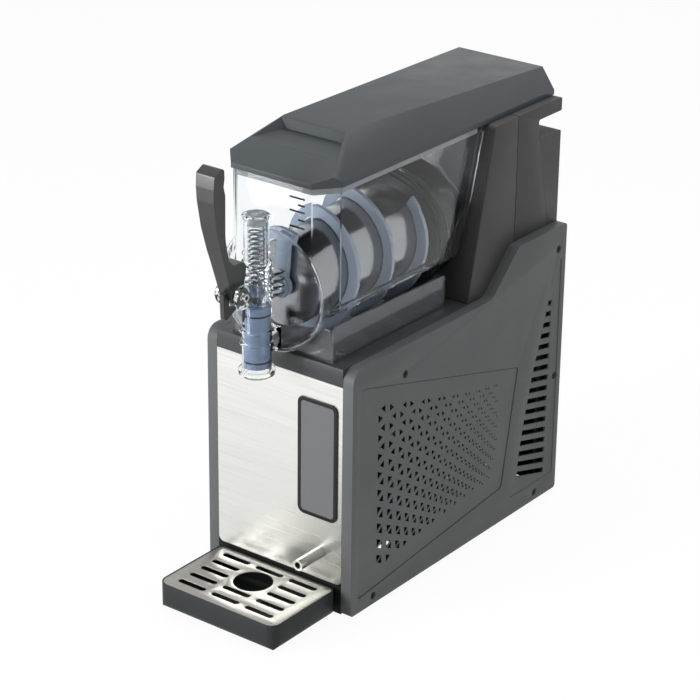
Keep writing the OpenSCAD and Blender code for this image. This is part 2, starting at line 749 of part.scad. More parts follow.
module motor_bracket() color("#a4a6a8") place() difference() {
    union() {
        block([-bracket_w, bracket_y, deck_z], [bracket_w, bracket_y + bracket_t, axis_z + bracket_h]);
        block([-bracket_w, bracket_y, deck_z], [bracket_w, bracket_y + bracket_foot_l, deck_z + bracket_t/2]);
    }
    rod_y(0, axis_z, drum_bore_r, bracket_y - over, bracket_y + bracket_t + over);
    both_sides() rod_z(pipe_hole_x, pipe_hole_y, pipe_hole_r, deck_z - over, deck_z + bracket_t);
    both_sides() rod_y(pipe_hole_x, pipe_z, pipe_r + over*2, bracket_y - over, bracket_y + bracket_t + over);
}
module gearbox() color("#8c8f92") place() difference() {
    union() {
        translate([0, bracket_y + bracket_t, axis_z - gearbox_drop]) rotate([-90, 0, 0])
            linear_extrude(gearbox_l)
            polygon(box_outline(gearbox_w, gearbox_h, gearbox_r));
        rod_y(0, axis_z, gear_boss_r, bracket_y + bracket_t, bracket_y + bracket_t + gearbox_l + gear_boss_t);
    }
    rod_y(0, axis_z, shaft_r + run_gap, bracket_y, bracket_y + bracket_t + shaft_in + over*2);
}
shaft_in = 22;
motor_r = 27;
motor_l = 62;
motor_ring = 5;
motor_drop = 4;
motor_ring_t = 2;
motor_tail_r = 9;
module gear_motor() color("#6f7377") place() {
    y0 = bracket_y + bracket_t + gearbox_l;
    z0 = axis_z - gearbox_drop - motor_drop;
    difference() {
        union() {
            rod_y(0, z0, motor_r, y0, y0 + motor_l);
            rod_y(0, z0, motor_r + motor_ring_t, y0 + motor_ring, y0 + motor_ring*2);
            rod_y(0, z0, motor_tail_r, y0 + motor_l, y0 + motor_l + motor_ring);
        }
        rod_y(0, axis_z, gear_boss_r + over, y0 - over, y0 + gear_boss_t + over);
    }
}

// The auger: a square-edged helix round the drum, and an arm in front that holds it on the shaft
flight_t = 4.6;
flight_clear = 1.3;
auger_in = drum_r + flight_clear;
auger_front = 8;
auger_back_gap = 6;
auger_back = drum_back - auger_back_gap;
auger_phase = 24;
steps_per_turn = 28;
arm_w = 16;
arm_t = 5;
arm_gap = 2.5;
arm_inset = 1;
auger_steps = ceil((auger_back - flight_t - auger_front)/auger_pitch*steps_per_turn);
function flight_ring(i) =
    let (y = auger_front + (auger_back - flight_t - auger_front)*i/auger_steps,
         a = auger_phase + 360*y/auger_pitch)
    [for (c = [[auger_in, 0], [auger_r, 0], [auger_r, flight_t], [auger_in, flight_t]])
        [c[0]*cos(a), y + c[1], c[0]*sin(a)]];
flight_points = [for (i = [0:auger_steps]) each flight_ring(i)];
function quad(a, b, c, d) = [[a, b, c], [a, c, d]];
flight_faces = concat(
    [for (i = [0:auger_steps - 1], k = [0:3]) each
        quad(4*i + k, 4*i + 4 + k, 4*i + 4 + (k + 1)%4, 4*i + (k + 1)%4)],
    quad(0, 1, 2, 3), quad(4*auger_steps + 3, 4*auger_steps + 2, 4*auger_steps + 1, 4*auger_steps));
start_a = auger_phase + 360*auger_front/auger_pitch;
arm_y = drum_front - arm_gap - arm_t;
module auger() color("#a9b4c4") place() {
    translate([0, 0, axis_z]) polyhedron(flight_points, flight_faces, convexity = 10);
    difference() {
        union() {
            translate([0, 0, axis_z]) rotate([0, -start_a - flight_lead, 0]) {
                block([0, arm_y, -arm_w/2], [auger_r - arm_inset*2, arm_y + arm_t, arm_w/2]);
                block([auger_in + arm_inset, arm_y, -arm_w/2],
                    [auger_r - arm_inset*2, auger_front + flight_t, arm_w/2]);
            }
            rod_y(0, axis_z, arm_w*hub_share, arm_y, arm_y + arm_t);
        }
        rod_y(0, axis_z, shaft_r, arm_y - over, arm_y + arm_t + over);
    }
}
hub_share = 0.8;
flight_lead = 12;
nose_l = 3.6;
nose_hub_r = 10;
nose_tooth_r = 1.6;
nose_tooth_x = 9.5;
module drive_shaft() color("#bfc1c2") place()
    rod_y(0, axis_z, shaft_r, arm_y - nose_l, bracket_y + bracket_t + shaft_in);
module auger_nose() color("#8e99a8") place() difference() {
    union() {
        rod_y(0, axis_z, nose_hub_r, arm_y - nose_l, arm_y);
        for (a = [0:60:300]) translate([0, arm_y - nose_l, axis_z]) rotate([0, a, 0])
            translate([nose_tooth_x, 0, 0]) rotate([-90, 0, 0]) cylinder(r = nose_tooth_r, h = nose_l);
    }
    rod_y(0, axis_z, shaft_r, arm_y - nose_l - over, arm_y + over);
}

// Refrigeration

comp_r = 50;
comp_h = 112;
comp_base = 16;
comp_dome = 18;
comp_foot = 44;
comp_foot_inset = 37.8;
comp_foot_x = pan_w - comp_foot_inset;
mount_r = 8;
comp_back_gap = 41.5;
comp_y = body_d - comp_back_gap - mount_r - comp_foot;
mount_head_r = 6.4;
stub_t = 2;
module comp_feet_places() for (x = [-1, 1], y = [-1, 1]) translate([x*comp_foot_x, comp_y + y*comp_foot,
    0]) children();
module compressor() color("#1f2022") place() {
    difference() {
        union() {
            rod_z(0, comp_y, comp_r, comp_base + pan_t, comp_base + comp_h - comp_dome);
            translate([0, comp_y, comp_base + comp_h - comp_dome]) scale([1, 1, comp_dome/comp_r])
                sphere(r = comp_r);
            block([-comp_foot_x - mount_r, comp_y - comp_foot - mount_r, comp_base + pan_t],
                [comp_foot_x + mount_r, comp_y + comp_foot + mount_r, comp_base + pan_t*3]);
            rod_z(pipe_hole_x, suction_y, pipe_r + stub_t, comp_top - comp_dome - stub_t, comp_top);
            rod_z(discharge_x, discharge_y, liquid_r + stub_t, comp_top - comp_dome - stub_t, comp_top);
        }
        comp_feet_places() translate([0, 0, comp_base]) cylinder(r = mount_r/2 + run_gap, h = pan_t*4);
    }
}
module compressor_mounts() color("#303030") place() comp_feet_places() {
    translate([0, 0, pan_t]) cylinder(r = mount_r, h = comp_base);
    translate([0, 0, pan_t + comp_base]) cylinder(r = mount_r/2, h = pan_t*2);
    translate([0, 0, comp_base + pan_t*3]) cylinder(r = mount_head_r, h = pan_t*2);
}
cond_inset = 14.6;
cond_w = (pan_w - pan_t - cond_inset)*2;
cond_h = 130;
cond_d = 26;
cond_gap = 13;
cond_y = comp_y - comp_foot - mount_r - cond_gap - cond_d;
cond_n = 20;
fin_t = 1;
cond_tube_r = 4;
cond_rows = 5;
module condenser() color("#a8abad") place() translate([0, cond_y, pan_t]) {
    for (s = [-1, 1]) block([s*cond_w/2 - fin_t, 0, 0], [s*cond_w/2 + fin_t, cond_d, cond_h]);
    for (i = [1:cond_n - 1]) block([-cond_w/2 + cond_w*i/cond_n - fin_t/2, 0, cond_tube_r],
        [-cond_w/2 + cond_w*i/cond_n + fin_t/2, cond_d, cond_h]);
    for (i = [0:cond_rows - 1]) rod_x(cond_d/2, cond_h*(i + 0.5)/cond_rows, cond_tube_r, -cond_w/2, cond_w/2);
    rod_z(cond_inlet_x, cond_d/2, liquid_r, cond_h*(cond_rows - 0.5)/cond_rows, cond_h);
}
fan_r = 54;
fan_z = 68;
shroud_l = 20;
shroud_h = 124;
shroud_inset = 4;
shroud_t = 3;
shroud_ring_t = 2.5;
spoke_w = 3;
blade_n = 5;
fan_hub_r = 17;
fan_hub_l = 16;
fan_shaft_r = 2.5;
shroud_y = cond_y - shroud_l;
module fan_shroud() color("#2b2c2e") place() difference() {
    union() {
        block([-cond_w/2 + shroud_inset, cond_y - shroud_t, pan_t],
            [cond_w/2 - shroud_inset, cond_y, pan_t + shroud_h]);
        rod_y(0, fan_z, fan_r + shroud_ring_t*2, shroud_y, cond_y);
    }
    difference() {
        rod_y(0, fan_z, fan_r + shroud_ring_t, shroud_y - over, cond_y + over);
        for (a = [45:90:315]) translate([0, cond_y - shroud_t, fan_z]) rotate([0, a, 0])
            block([0, 0, -spoke_w], [fan_r + shroud_ring_t*2, shroud_t, spoke_w]);
        rod_y(0, fan_z, motor_mount_r, cond_y - shroud_t, cond_y);
    }
}
motor_mount_r = 20;
fan_motor_l = 13;
fan_motor_r = 17;
fan_gap = 1;
fan_hub_floor = 2;
blade_root_r = 13.6;
module fan_motor() color("#3d3f41") place() {
    y0 = cond_y - shroud_t - fan_motor_l;
    rod_y(0, fan_z, fan_motor_r, y0, y0 + fan_motor_l);
    rod_y(0, fan_z, fan_shaft_r, y0 - fan_hub_l + fan_hub_floor, y0);
}
blade_t = 1.6;
blade_tilt = 32;
blade_chord = 16;
module fan() color("#505356") place() {
    y0 = cond_y - shroud_t - fan_motor_l - fan_hub_l - fan_gap;
    difference() {
        union() {
            rod_y(0, fan_z, fan_hub_r, y0, y0 + fan_hub_l);
            for (i = [0:blade_n - 1]) translate([0, y0 + fan_hub_l/2, fan_z]) rotate([0, 360*i/blade_n, 0])
                rotate([blade_tilt, 0, 0])
                    block([blade_root_r, -blade_t/2, -blade_chord], [fan_r - fan_gap, blade_t/2,
                        blade_chord]);
        }
        rod_y(0, fan_z, fan_shaft_r + run_gap, y0 + fan_hub_floor, y0 + fan_hub_l + over);
    }
}
// A pipe made of straight runs with a ball at each bend
pipe_sides = 24;
module pipe(points, r) {
    for (i = [0:len(points) - 2]) {
        a = points[i];
        b = points[i + 1];
        d = b - a;
        translate(a) rotate([0, acos(d[2]/norm(d)), atan2(d[1], d[0])]) cylinder(r = r, h = norm(d),
            $fn = pipe_sides);
    }
    for (i = [1:len(points) - 2]) translate(points[i]) sphere(r = r, $fn = pipe_sides);
}
suction_out = 30;
suction_y = comp_y - suction_out;
pipe_drop = 35;
pipe_z = axis_z - pipe_drop;
discharge_x = -28;
discharge_out = 24;
discharge_y = comp_y - discharge_out;
discharge_z = 190;
discharge_fall = 14;
comp_top = comp_base + comp_h;
module suction_pipe() color("#b87333") place()
    pipe([[pipe_hole_x, suction_y, comp_top], [pipe_hole_x, suction_y, pipe_z],
        [pipe_hole_x, flange_y + flange_t + tower_t, pipe_z]], pipe_r);
discharge_inset = 14;
discharge_side = -pan_w + discharge_inset;
cond_inlet_in = 8;
cond_inlet_x = -cond_w/2 + cond_inlet_in;
module discharge_pipe() color("#b87333") place()
    pipe([[discharge_x, discharge_y, comp_top], [discharge_x, discharge_y, discharge_z],
        [discharge_side, discharge_y, discharge_z], [discharge_side, cond_y + cond_d/2, discharge_z],
        [cond_inlet_x, cond_y + cond_d/2, discharge_z - discharge_fall],
        [cond_inlet_x, cond_y + cond_d/2, cond_h + pan_t]], liquid_r);
liquid_r = 3;
drier_r = 9;
drier_l = 60;
drier_z = 160;
drier_inset = 14;
drier_x = cond_w/2 - drier_inset;
drier_gap = 10;
drier_y = cond_y + cond_d + drier_gap;
capillary_r = 2;
capillary_rise = 14;
capillary_out = 18;
capillary_z = drier_z + drier_l + capillary_rise;
cond_out_z = pan_t + cond_h*(cond_rows - 0.5)/cond_rows;
module filter_drier() color("#b5794a") place() {
    rod_z(drier_x, drier_y, drier_r, drier_z, drier_z + drier_l);
    pipe([[drier_x, cond_y + cond_d, cond_out_z], [drier_x, drier_y, cond_out_z],
        [drier_x, drier_y, drier_z + over]], liquid_r);
    pipe([[drier_x, drier_y, drier_z + drier_l - over], [drier_x, drier_y, capillary_z],
        [-pipe_hole_x, drier_y + capillary_out, capillary_z], [-pipe_hole_x, suction_y, capillary_z],
        [-pipe_hole_x, suction_y, pipe_z], [-pipe_hole_x, flange_y + flange_t + tower_t, pipe_z]],
            capillary_r);
}
supply_w = 90;
supply_l = 34;
supply_h = 70;
supply_y = 56;
supply_inset = 11.6;
supply_slot_n = 7;
supply_slot_pitch = 10;
supply_slot_w = 4;
supply_slot_depth = 3.2;
supply_margin = 8;
module power_supply() color("#a9abad") place() difference() {
    x0 = -pan_w + pan_t + supply_inset;
    block([x0, supply_y, pan_t], [x0 + supply_w, supply_y + supply_l, pan_t + supply_h]);
    for (i = [0:supply_slot_n - 1]) {
        x1 = x0 + supply_slot_pitch*(1 + i) + supply_slot_w/2;
        block([x1, supply_y + supply_margin, pan_t + supply_h - supply_slot_depth],
            [x1 + supply_slot_w, supply_y + supply_l - supply_margin, pan_t + supply_h + over]);
    }
}
inlet_inset = 35.8;
inlet_x = rear_w - inlet_inset;
inlet_z = 48;
inlet_w = 27;
inlet_h = 20;
inlet_l = 22;
inlet_rim = 6;
inlet_r = 2;
inlet_lip_t = 3;
inlet_lip_r = 3;
inlet_wall = 1.5;
inlet_wall_z = 2;
inlet_floor = 5;
contact_w = 2;
contact_root = 4;
contact_short_share = 0.33;
contact_shares = [[-0.26, -0.075], [0, 0.075], [0.26, -0.075]];
module power_inlet() color("#1c1c1c") place() translate([inlet_x, rear_y, inlet_z]) {
    difference() {
        union() {
            along_y(box_outline(inlet_w, inlet_h, inlet_r), -inlet_l, rear_t);
            along_y(box_outline(inlet_w + inlet_rim*2, inlet_h + inlet_rim/2, inlet_lip_r), rear_t,
                rear_t + inlet_lip_t);
        }
        along_y(box_outline(inlet_w - inlet_wall*2, inlet_h - inlet_wall_z*2, inlet_lip_r),
            -inlet_l + inlet_floor, rear_t + inlet_lip_t + over);
    }
    for (p = inlet_w*contact_shares) block([p[0] - contact_w/2, -inlet_l + contact_root, p[1] - contact_w],
        [p[0] + contact_w/2, rear_t - inlet_l*contact_short_share, p[1] + contact_w]);
}
switch_x = 0;
switch_w = 13;
switch_h = 19;
switch_l = 18;
switch_r = 1;
switch_lip = 2;
switch_wall = 1.5;
switch_wall_z = 0.5;
switch_floor = 6;
module switch_frame() color("#1c1c1c") place() translate([switch_x, rear_y, inlet_z]) difference() {
    union() {
        along_y(box_outline(switch_w, switch_h, switch_r), -switch_l, rear_t);
        along_y(box_outline(switch_w + switch_lip*2, switch_h + switch_lip*2, switch_lip), rear_t,
            rear_t + switch_lip);
    }
    along_y(box_outline(switch_w - switch_wall*2, switch_h - switch_wall_z*2, switch_wall_z),
        -switch_l + switch_floor, rear_t + switch_lip + over);
    rod_x(rear_t - rocker_depth, 0, rocker_pin_r + run_gap, -switch_w/2, switch_w/2);
}
rocker_pin_r = 1.2;
rocker_w = 9.4;
rocker_depth = 5;
rocker_pin_gap = 0.6;
rocker_side_shares = [[0, -0.4], [0.347, -0.368], [0.242, 0], [0.347, 0.368], [0, 0.4], [-0.21, 0]];
module switch_rocker() color("#b3261e") place() translate([switch_x, rear_y + rear_t - rocker_depth,
    inlet_z]) {
    rotate([-rocker_tilt, 0, 0]) along_x(switch_h*rocker_side_shares, -rocker_w/2, rocker_w/2);
    rod_x(0, 0, rocker_pin_r, -switch_w/2 + rocker_pin_gap, switch_w/2 - rocker_pin_gap);
}
rocker_tilt = 9;

// Bowl, lid and tap

function lid_plan() = [[lid_w/2, lid_chamfer_y], [lid_w/2, lid_back], [-lid_w/2, lid_back], [-lid_w/2,
    lid_chamfer_y],
    [-lid_front_w/2, -lid_out], [lid_front_w/2, -lid_out]];
lid_margin = 1;
lid_back = body_d - lid_margin;
lid_chamfer = 25;
lid_chamfer_y = -lid_out + lid_chamfer;
lid_lap = 2;
lid_z = rim_z - lid_lap;
module plan_prism(inset, z0, z1) translate([0, 0, z0]) linear_extrude(z1 - z0)
    polygon(drawn_in(lid_plan(), inset));
bowl_w = lid_w/2 - lid_inset;
rear_top_gap = 5;
rear_top_y = tower_brow - rear_top_gap;
rear_bend_over = 16.4;
rear_bend_y = tower_foot + rear_bend_over;
rear_bend_drop = 75.5;
rear_low_gap = 17.6;
rear_low_y = tower_foot - rear_low_gap;
rear_low_drop = 127;
shelf_back_gap = 37.6;
shelf_back_y = tower_foot - shelf_back_gap;
// Side view of the bowl's box
function bowl_outline() = [[bowl_front - over, shelf_z], [shelf_back_y, shelf_z], [rear_low_y,
    rim_z - rear_low_drop],
    [rear_bend_y, rim_z - rear_bend_drop], [rear_top_y, rim_z], [bowl_front - over, rim_z]];
function cheek_outline() = [[shelf_back_y - cheek_l, shelf_z], [cheek_low_y, shelf_z],
    [cheek_low_y + cheek_gap, rim_z - rear_low_drop], [rear_bend_y + cheek_gap, rim_z - rear_bend_drop],
    [rear_top_y + cheek_top_gap, rim_z - cheek_top],
    [rear_top_y - cheek_l, rim_z - cheek_top], [rear_bend_y - cheek_l, rim_z - rear_bend_drop],
    [rear_low_y - cheek_l, rim_z - rear_low_drop]];
cheek_l = 5;
cheek_low_gap = 0.6;
cheek_low_y = tower_foot - cheek_low_gap;
cheek_gap = 5;
cheek_top = 10;
cheek_top_gap = 1.7;
port_z = 297;
port_r = 9;
tunnel_gap = 1.2;
tunnel_r = flange_r + tunnel_gap;
// All of the bowl's space except the round tunnel for the drum's neck
module bowl_tunnel(r, y0) difference() {
    block([-body_w, -body_d, 0], [body_w, body_d, rim_z*2]);
    rod_y(0, axis_z, r, y0, body_d + over);
}
module bowl() color("#d5dadd", 0.5) place() difference() {
    union() {
        intersection() {
            along_x(bowl_outline(), -bowl_w, bowl_w);
            plan_prism(lid_inset, shelf_z - over, rim_z + over);
            bowl_tunnel(tunnel_r, bowl_back);
        }
        rod_y(0, axis_z, trough_out, bowl_front, bowl_back);
        rod_y(0, axis_z, disc_r, disc_front, bowl_front);
        both_sides() along_x(cheek_outline(), bowl_w - bowl_t, bowl_w);
    }
    intersection() {
        along_x(drawn_in(bowl_outline(), bowl_t), -bowl_w, bowl_w);
        plan_prism(lid_inset + bowl_t, shelf_z, rim_z);
        bowl_tunnel(tunnel_r + bowl_t, bowl_back - bowl_t);
    }
    intersection() {
        translate([0, 0, bowl_t + over]) along_x(drawn_in(bowl_outline(), bowl_t), -bowl_w, bowl_w);
        plan_prism(lid_inset + bowl_t, shelf_z, rim_z + over*2);
        block([-bowl_w, -body_d, rim_z - bowl_t - over], [bowl_w, rear_top_y - bowl_t - over,
            rim_z + over*2]);
    }
    rod_y(0, axis_z, trough_r, bowl_front + bowl_t, bowl_back + over);
    rod_y(0, port_z, port_r, disc_front - over, bowl_front + bowl_t + over);
}

lid_brow_y = 57;
lid_brow_w = 79;
lid_crown_w = 109.6;
lid_hip_y = 3.5;
lid_hip_w = 131;
lid_hip_rise_share = 0.18;
// How far the roof's corners draw in for the wall, across and back
brow_in_shares = [0.6, 0.4];
crown_in_share = 0.8;
brow_slope = lid_rise/(lid_brow_y + lid_out);
function lid_points(d) = let (z0 = lid_z + lid_rim_h, p = drawn_in(lid_plan(), d)) concat(
    [for (q = p) [q[0], q[1], lid_z]], [for (q = p) [q[0], q[1], z0]],
    [for (s = [1, -1]) [s*(lid_hip_w/2 - d), lid_hip_y + d, z0 + lid_rise*lid_hip_rise_share - d/2]],
    [for (s = [1, -1]) [s*(lid_brow_w/2 - d*brow_in_shares[0]), lid_brow_y + d*brow_in_shares[1],
        z0 + lid_rise - d]],
    [for (s = [1, -1]) [s*(lid_crown_w/2 - d*crown_in_share), lid_back - d, z0 + lid_rise_back - d]]);
lid_faces = [[0, 1, 2, 3, 4, 5], [1, 0, 6, 7], [2, 1, 7, 16, 17, 8], [3, 2, 8, 9], [4, 3, 9, 10], [5, 4,
    10, 11],
    [0, 5, 11, 6], [11, 10, 15, 14], [6, 11, 12], [11, 14, 12], [6, 12, 14], [6, 14, 16], [7, 6, 16],
    [10, 9, 13], [10, 13, 15], [9, 15, 13], [9, 17, 15], [8, 17, 9], [14, 15, 17, 16]];
module lid_form(d) polyhedron(lid_points(d), lid_faces, convexity = 4);
grip_low_y = 21;
grip_low_w = 109;
grip_high_y = 52.5;
grip_high_w = 83;
grip_floor_y = 55.5;
grip_floor_w = 70;
grip_floor_rise = 4.1;
grip_wall_share = 0.8;
function grip_points(d, lift) =
    let (z0 = lid_z + lid_rim_h, low_z = z0 + (grip_low_y + lid_out)*brow_slope,
         high_z = z0 + (grip_high_y + lid_out)*brow_slope)
    [for (s = [1, -1]) each [[s*(grip_low_w/2 + d), grip_low_y - d*2, low_z - d],
        [s*(grip_floor_w/2 + d), grip_floor_y + d, low_z + grip_floor_rise - d],
        [s*(grip_high_w/2 + d), grip_high_y + d, high_z + lift],
        [s*(grip_low_w/2 + d), grip_low_y - d*2, low_z + lift*2]]];
grip_faces = [[2, 1, 0], [3, 2, 0], [4, 5, 6], [4, 6, 7], [1, 5, 4, 0], [2, 6, 5, 1], [3, 7, 6, 2], [0,
    4, 7, 3]];
module grip_form(d, lift) polyhedron(grip_points(d, lift), grip_faces, convexity = 4);
module lid() color("#54585a") place() difference() {
    lid_form(0);
    difference() {
        union() {
            intersection() {
                lid_form(lid_t);
                plan_prism(lid_seat_in, rim_z + lid_seat_t, rim_z + lid_rise*2);
            }
            plan_prism(lid_seat_in, lid_z - over, rim_z + lid_seat_t + over);
            block([-lid_w/2 + lid_seat_in, seam_y - over, lid_z - over],
                [lid_w/2 - lid_seat_in, lid_back - lid_t, rim_z + over]);
        }
        grip_form(lid_t*grip_wall_share, over);
    }
    plan_prism(lid_inset - slide_gap, lid_z - over, rim_z + seat_gap);
    grip_form(0, over*4);
}
lid_seat_in = 7;
lid_seat_t = 2.5;
lid_seal_t = 2;
lid_seal_h = 10;
seal_back_gap = 4;
seal_back_y = rear_top_y - bowl_t - seal_back_gap;
module lid_seal() color("#8a8c8d") place() intersection() {
    difference() {
        plan_prism(lid_inset + bowl_t + seat_gap, rim_z - lid_seal_h, rim_z + seat_gap);
        difference() {
            plan_prism(lid_inset + bowl_t + seat_gap + lid_seal_t, rim_z - lid_seal_h - over, rim_z + over);
            block([-lid_w, seal_back_y - lid_seal_t, rim_z - lid_seal_h - over], [lid_w,
                seal_back_y + over, rim_z + over]);
        }
    }
    block([-lid_w, -body_d, rim_z - lid_seal_h - over], [lid_w, seal_back_y, rim_z + over*2]);
}

tap_y = -tap_out;
pivot_y = tap_y - pivot_out;
housing_bore = 9.7;
ring_r = 14.2;
ring_h = 8;
collar_r = 17.5;
collar_t = 2.5;
collar_low = 298;
collar_high = 311.5;
spout_flange_r = 18.7;
spout_flange_z = 265;
spout_flange_t = 5;
port_block_w = 28.4;
port_block_low = 288;
port_block_high = 312;
fin_n = 4;
fin_pitch = 7.3;
fin_low = 349.5;
fin_w = 37;
fin_plate_t = 1.8;
ear_r = 12.5;
ear_inset = 0.8;
arm_back = 3.5;
fin_front = 2;
port_front = 3;
window_back = 5;
ear_out = barrel_r - ear_inset;
ear_t = 4;
pin_r = 4;
window_w = 19.4;
lug_r = 2.4;
lug_l = 4;
barrel_cap_t = 3;
shoulder_low = barrel_top - barrel_cap_t;
seat_r = 10.7;
seat_depth = 4;
arm_low = 10;
fork_r = 31;
tip_r = 4;
prong_t = 2.5;
fork_rise = fork_r*sin(lever_swing/2);
tip_z = pivot_z - fork_rise;
window_low = tip_z - tip_r - over;
window_high = tip_z + fork_rise*2 + tip_r + over;
module barrel_solid() {
    rod_z(0, tap_y, barrel_r, spout_z, barrel_top);
    rod_z(0, tap_y, housing_r, barrel_top, housing_top);
    rod_z(0, tap_y, ring_r, housing_top - ring_h, housing_top);
    rod_z(0, tap_y, spout_flange_r, spout_flange_z, spout_flange_z + spout_flange_t);
    for (z = [collar_low, collar_high]) rod_z(0, tap_y, collar_r, z, z + collar_t);
    block([-port_block_w/2, tap_y + port_front, port_block_low], [port_block_w/2, disc_front,
        port_block_high]);
    for (i = [0:fin_n - 1]) block([-fin_w/2, tap_y + fin_front, fin_low + i*fin_pitch],
        [fin_w/2, disc_front, fin_low + i*fin_pitch + fin_plate_t]);
    for (z = [barrel_top + lug_r*2, housing_top - ring_h/2])
        rod_x(tap_y, z, lug_r, -housing_r - lug_l, -housing_r + lug_r);
}
module ears() both_sides() difference() {
    union() {
        rod_x(pivot_y, pivot_z, ear_r, ear_out - ear_t, ear_out);
        block([ear_out - ear_t, pivot_y, pivot_z - arm_low], [ear_out, tap_y - arm_back, pivot_z + arm_low]);
    }
    rod_x(pivot_y, pivot_z, pin_r + run_gap, 0, ear_out + over);
}
module tap_body() color("#d5dadd", 0.5) place() difference() {
    union() {
        barrel_solid();
        ears();
    }
    rod_z(0, tap_y, bore_r, spout_z - over, shoulder_low);
    rod_z(0, tap_y, housing_bore, shoulder_low - over, housing_top + over);
    rod_z(0, tap_y, seat_r, housing_top - seat_depth, housing_top + over);
    rod_y(0, port_z, port_r, tap_y, disc_front + over);
    block([-window_w/2, tap_y - barrel_r - over, window_low], [window_w/2, tap_y - window_back, window_high]);
}
cap_gap = 0.2;
cap_r = seat_r - cap_gap;
cap_plug_gap = 0.15;
cap_proud = 0.5;
cap_top = housing_top + cap_proud;
cap_rim = 1.5;
cap_plug_l = 6;
cap_dish = 1.2;
module tap_cap() color("#c2c6c8") place() difference() {
    union() {
        rod_z(0, tap_y, cap_r, housing_top - seat_depth, cap_top);
        rod_z(0, tap_y, housing_bore - cap_plug_gap, housing_top - seat_depth - cap_plug_l,
            housing_top - seat_depth);
    }
    difference() {
        rod_z(0, tap_y, cap_r - cap_rim, cap_top - cap_dish, cap_top + over);
        rod_z(0, tap_y, cap_r/2, cap_top - cap_dish*2, cap_top + over*2);
    }
}

// The piston hangs on the lever's fork: the fork lifts the collar under the spring
fork_gap = 0.3;
piston_drop = 4.2;
collar_z = tip_z + tip_r + fork_gap;
spool_t = 3;
spool_r = 9.2;
stem_r = 4.8;
piston_top = tip_z - tip_r - piston_drop;
piston_low = 272.5;
piston_r = bore_r - run_gap;
guide_l = 10;
guide_r = 4.4;
ring_groove = 2;
ring_shares = [0.0909, 0.8485];
ring_places = [for (r = ring_shares) r*(piston_top - piston_low)];
module piston() color("#8d9cb6") place() difference() {
    translate([0, tap_y, 0]) rotate_extrude() polygon([[0, piston_low], [piston_r, piston_low],
        [piston_r, piston_top], [stem_r, piston_top], [stem_r, collar_z], [spool_r, collar_z],
        [spool_r, collar_z + spool_t], [guide_r, collar_z + spool_t], [guide_r, collar_z + spool_t + guide_l],
        [0, collar_z + spool_t + guide_l]]);
    for (z = ring_places) difference() {
        rod_z(0, tap_y, piston_r + over, piston_low + z, piston_low + z + ring_groove);
        rod_z(0, tap_y, piston_r - ring_groove, piston_low + z - over, piston_low + z + ring_groove + over);
    }
}
module piston_rings() color("#4b515a") place() for (z = ring_places) difference() {
    rod_z(0, tap_y, piston_r, piston_low + z, piston_low + z + ring_groove);
    rod_z(0, tap_y, piston_r - ring_groove, piston_low + z - over, piston_low + z + ring_groove + over);
}

// The closing spring: one tube swept along a helix. Its ends lie level for a moment and run
// straight into the collar below and the cap above.
spring_low = collar_z + spool_t;
spring_high = housing_top - seat_depth - cap_plug_l;
spring_rings_per_turn = 8;
spring_sides = 6;
end_l = wire_r*2;
spring_steps = ceil(spring_turns*spring_rings_per_turn);
coil_low = spring_low + end_l + wire_r;
coil_high = spring_high - end_l - wire_r;
function coil_point(i) = let (a = 360*spring_turns*i/spring_steps)
    [spring_r*cos(a), spring_r*sin(a), coil_low + (coil_high - coil_low)*i/spring_steps];
coil_path = [for (i = [0:spring_steps]) coil_point(i)];
spring_path = concat([[coil_path[0][0], coil_path[0][1], spring_low], [coil_path[0][0], coil_path[0][1],
    spring_low + end_l]],
    [for (i = [1:spring_steps - 1]) coil_path[i]],
    [[coil_path[spring_steps][0], coil_path[spring_steps][1], spring_high - end_l],
        [coil_path[spring_steps][0], coil_path[spring_steps][1], spring_high]]);
spring_count = len(spring_path);
function tangent(i) = i == 0 || i == spring_count - 1 ? [0, 0, 1]
    : i == 1 || i == spring_count - 2 ? unit([0, 0, 1] + unit(i == 1 ? spring_path[2] - spring_path[1]
        : spring_path[i] - spring_path[i - 1]))
    : unit(spring_path[i + 1] - spring_path[i - 1]);
function wire_ring(i) = let (p = spring_path[i], t = tangent(i), o = unit([p[0], p[1], 0]),
        n = unit(o - t*(o*t)), b = cross(t, n))
    [for (k = [0:spring_sides - 1]) p + wire_r*(n*cos(360*k/spring_sides) + b*sin(360*k/spring_sides))];
spring_points = [for (i = [0:spring_count - 1]) each wire_ring(i)];
spring_faces = concat(
    [for (i = [0:spring_count - 2], k = [0:spring_sides - 1]) each
        quad(spring_sides*i + k, spring_sides*i + spring_sides + k,
            spring_sides*i + spring_sides + (k + 1)%spring_sides, spring_sides*i + (k + 1)%spring_sides)],
    [for (k = [1:spring_sides - 2]) [0, k, k + 1]],
    [for (k = [1:spring_sides - 2]) let (e = spring_sides*(spring_count - 1)) [e, e + k + 1, e + k]]);
spring_gap = min([for (i = [0:spring_count - 1], j = [i + 5:spring_count - 1])
    norm(spring_path[i] - spring_path[j])])
    - wire_r*2;
echo(spring_gap = spring_gap);
module tap_spring() color("#b9bbbd") place() translate([0, tap_y, 0])
    polyhedron(spring_points, spring_faces, convexity = 10);

pin_over = 2;
pin_bore = 2.2;
module pivot_pin() color("#c4c4c2") place() difference() {
    rod_x(pivot_y, pivot_z, pin_r, -ear_out - pin_over, ear_out + pin_over);
    rod_x(pivot_y, pivot_z, pin_bore, -ear_out - pin_over - over, ear_out + pin_over + over);
}

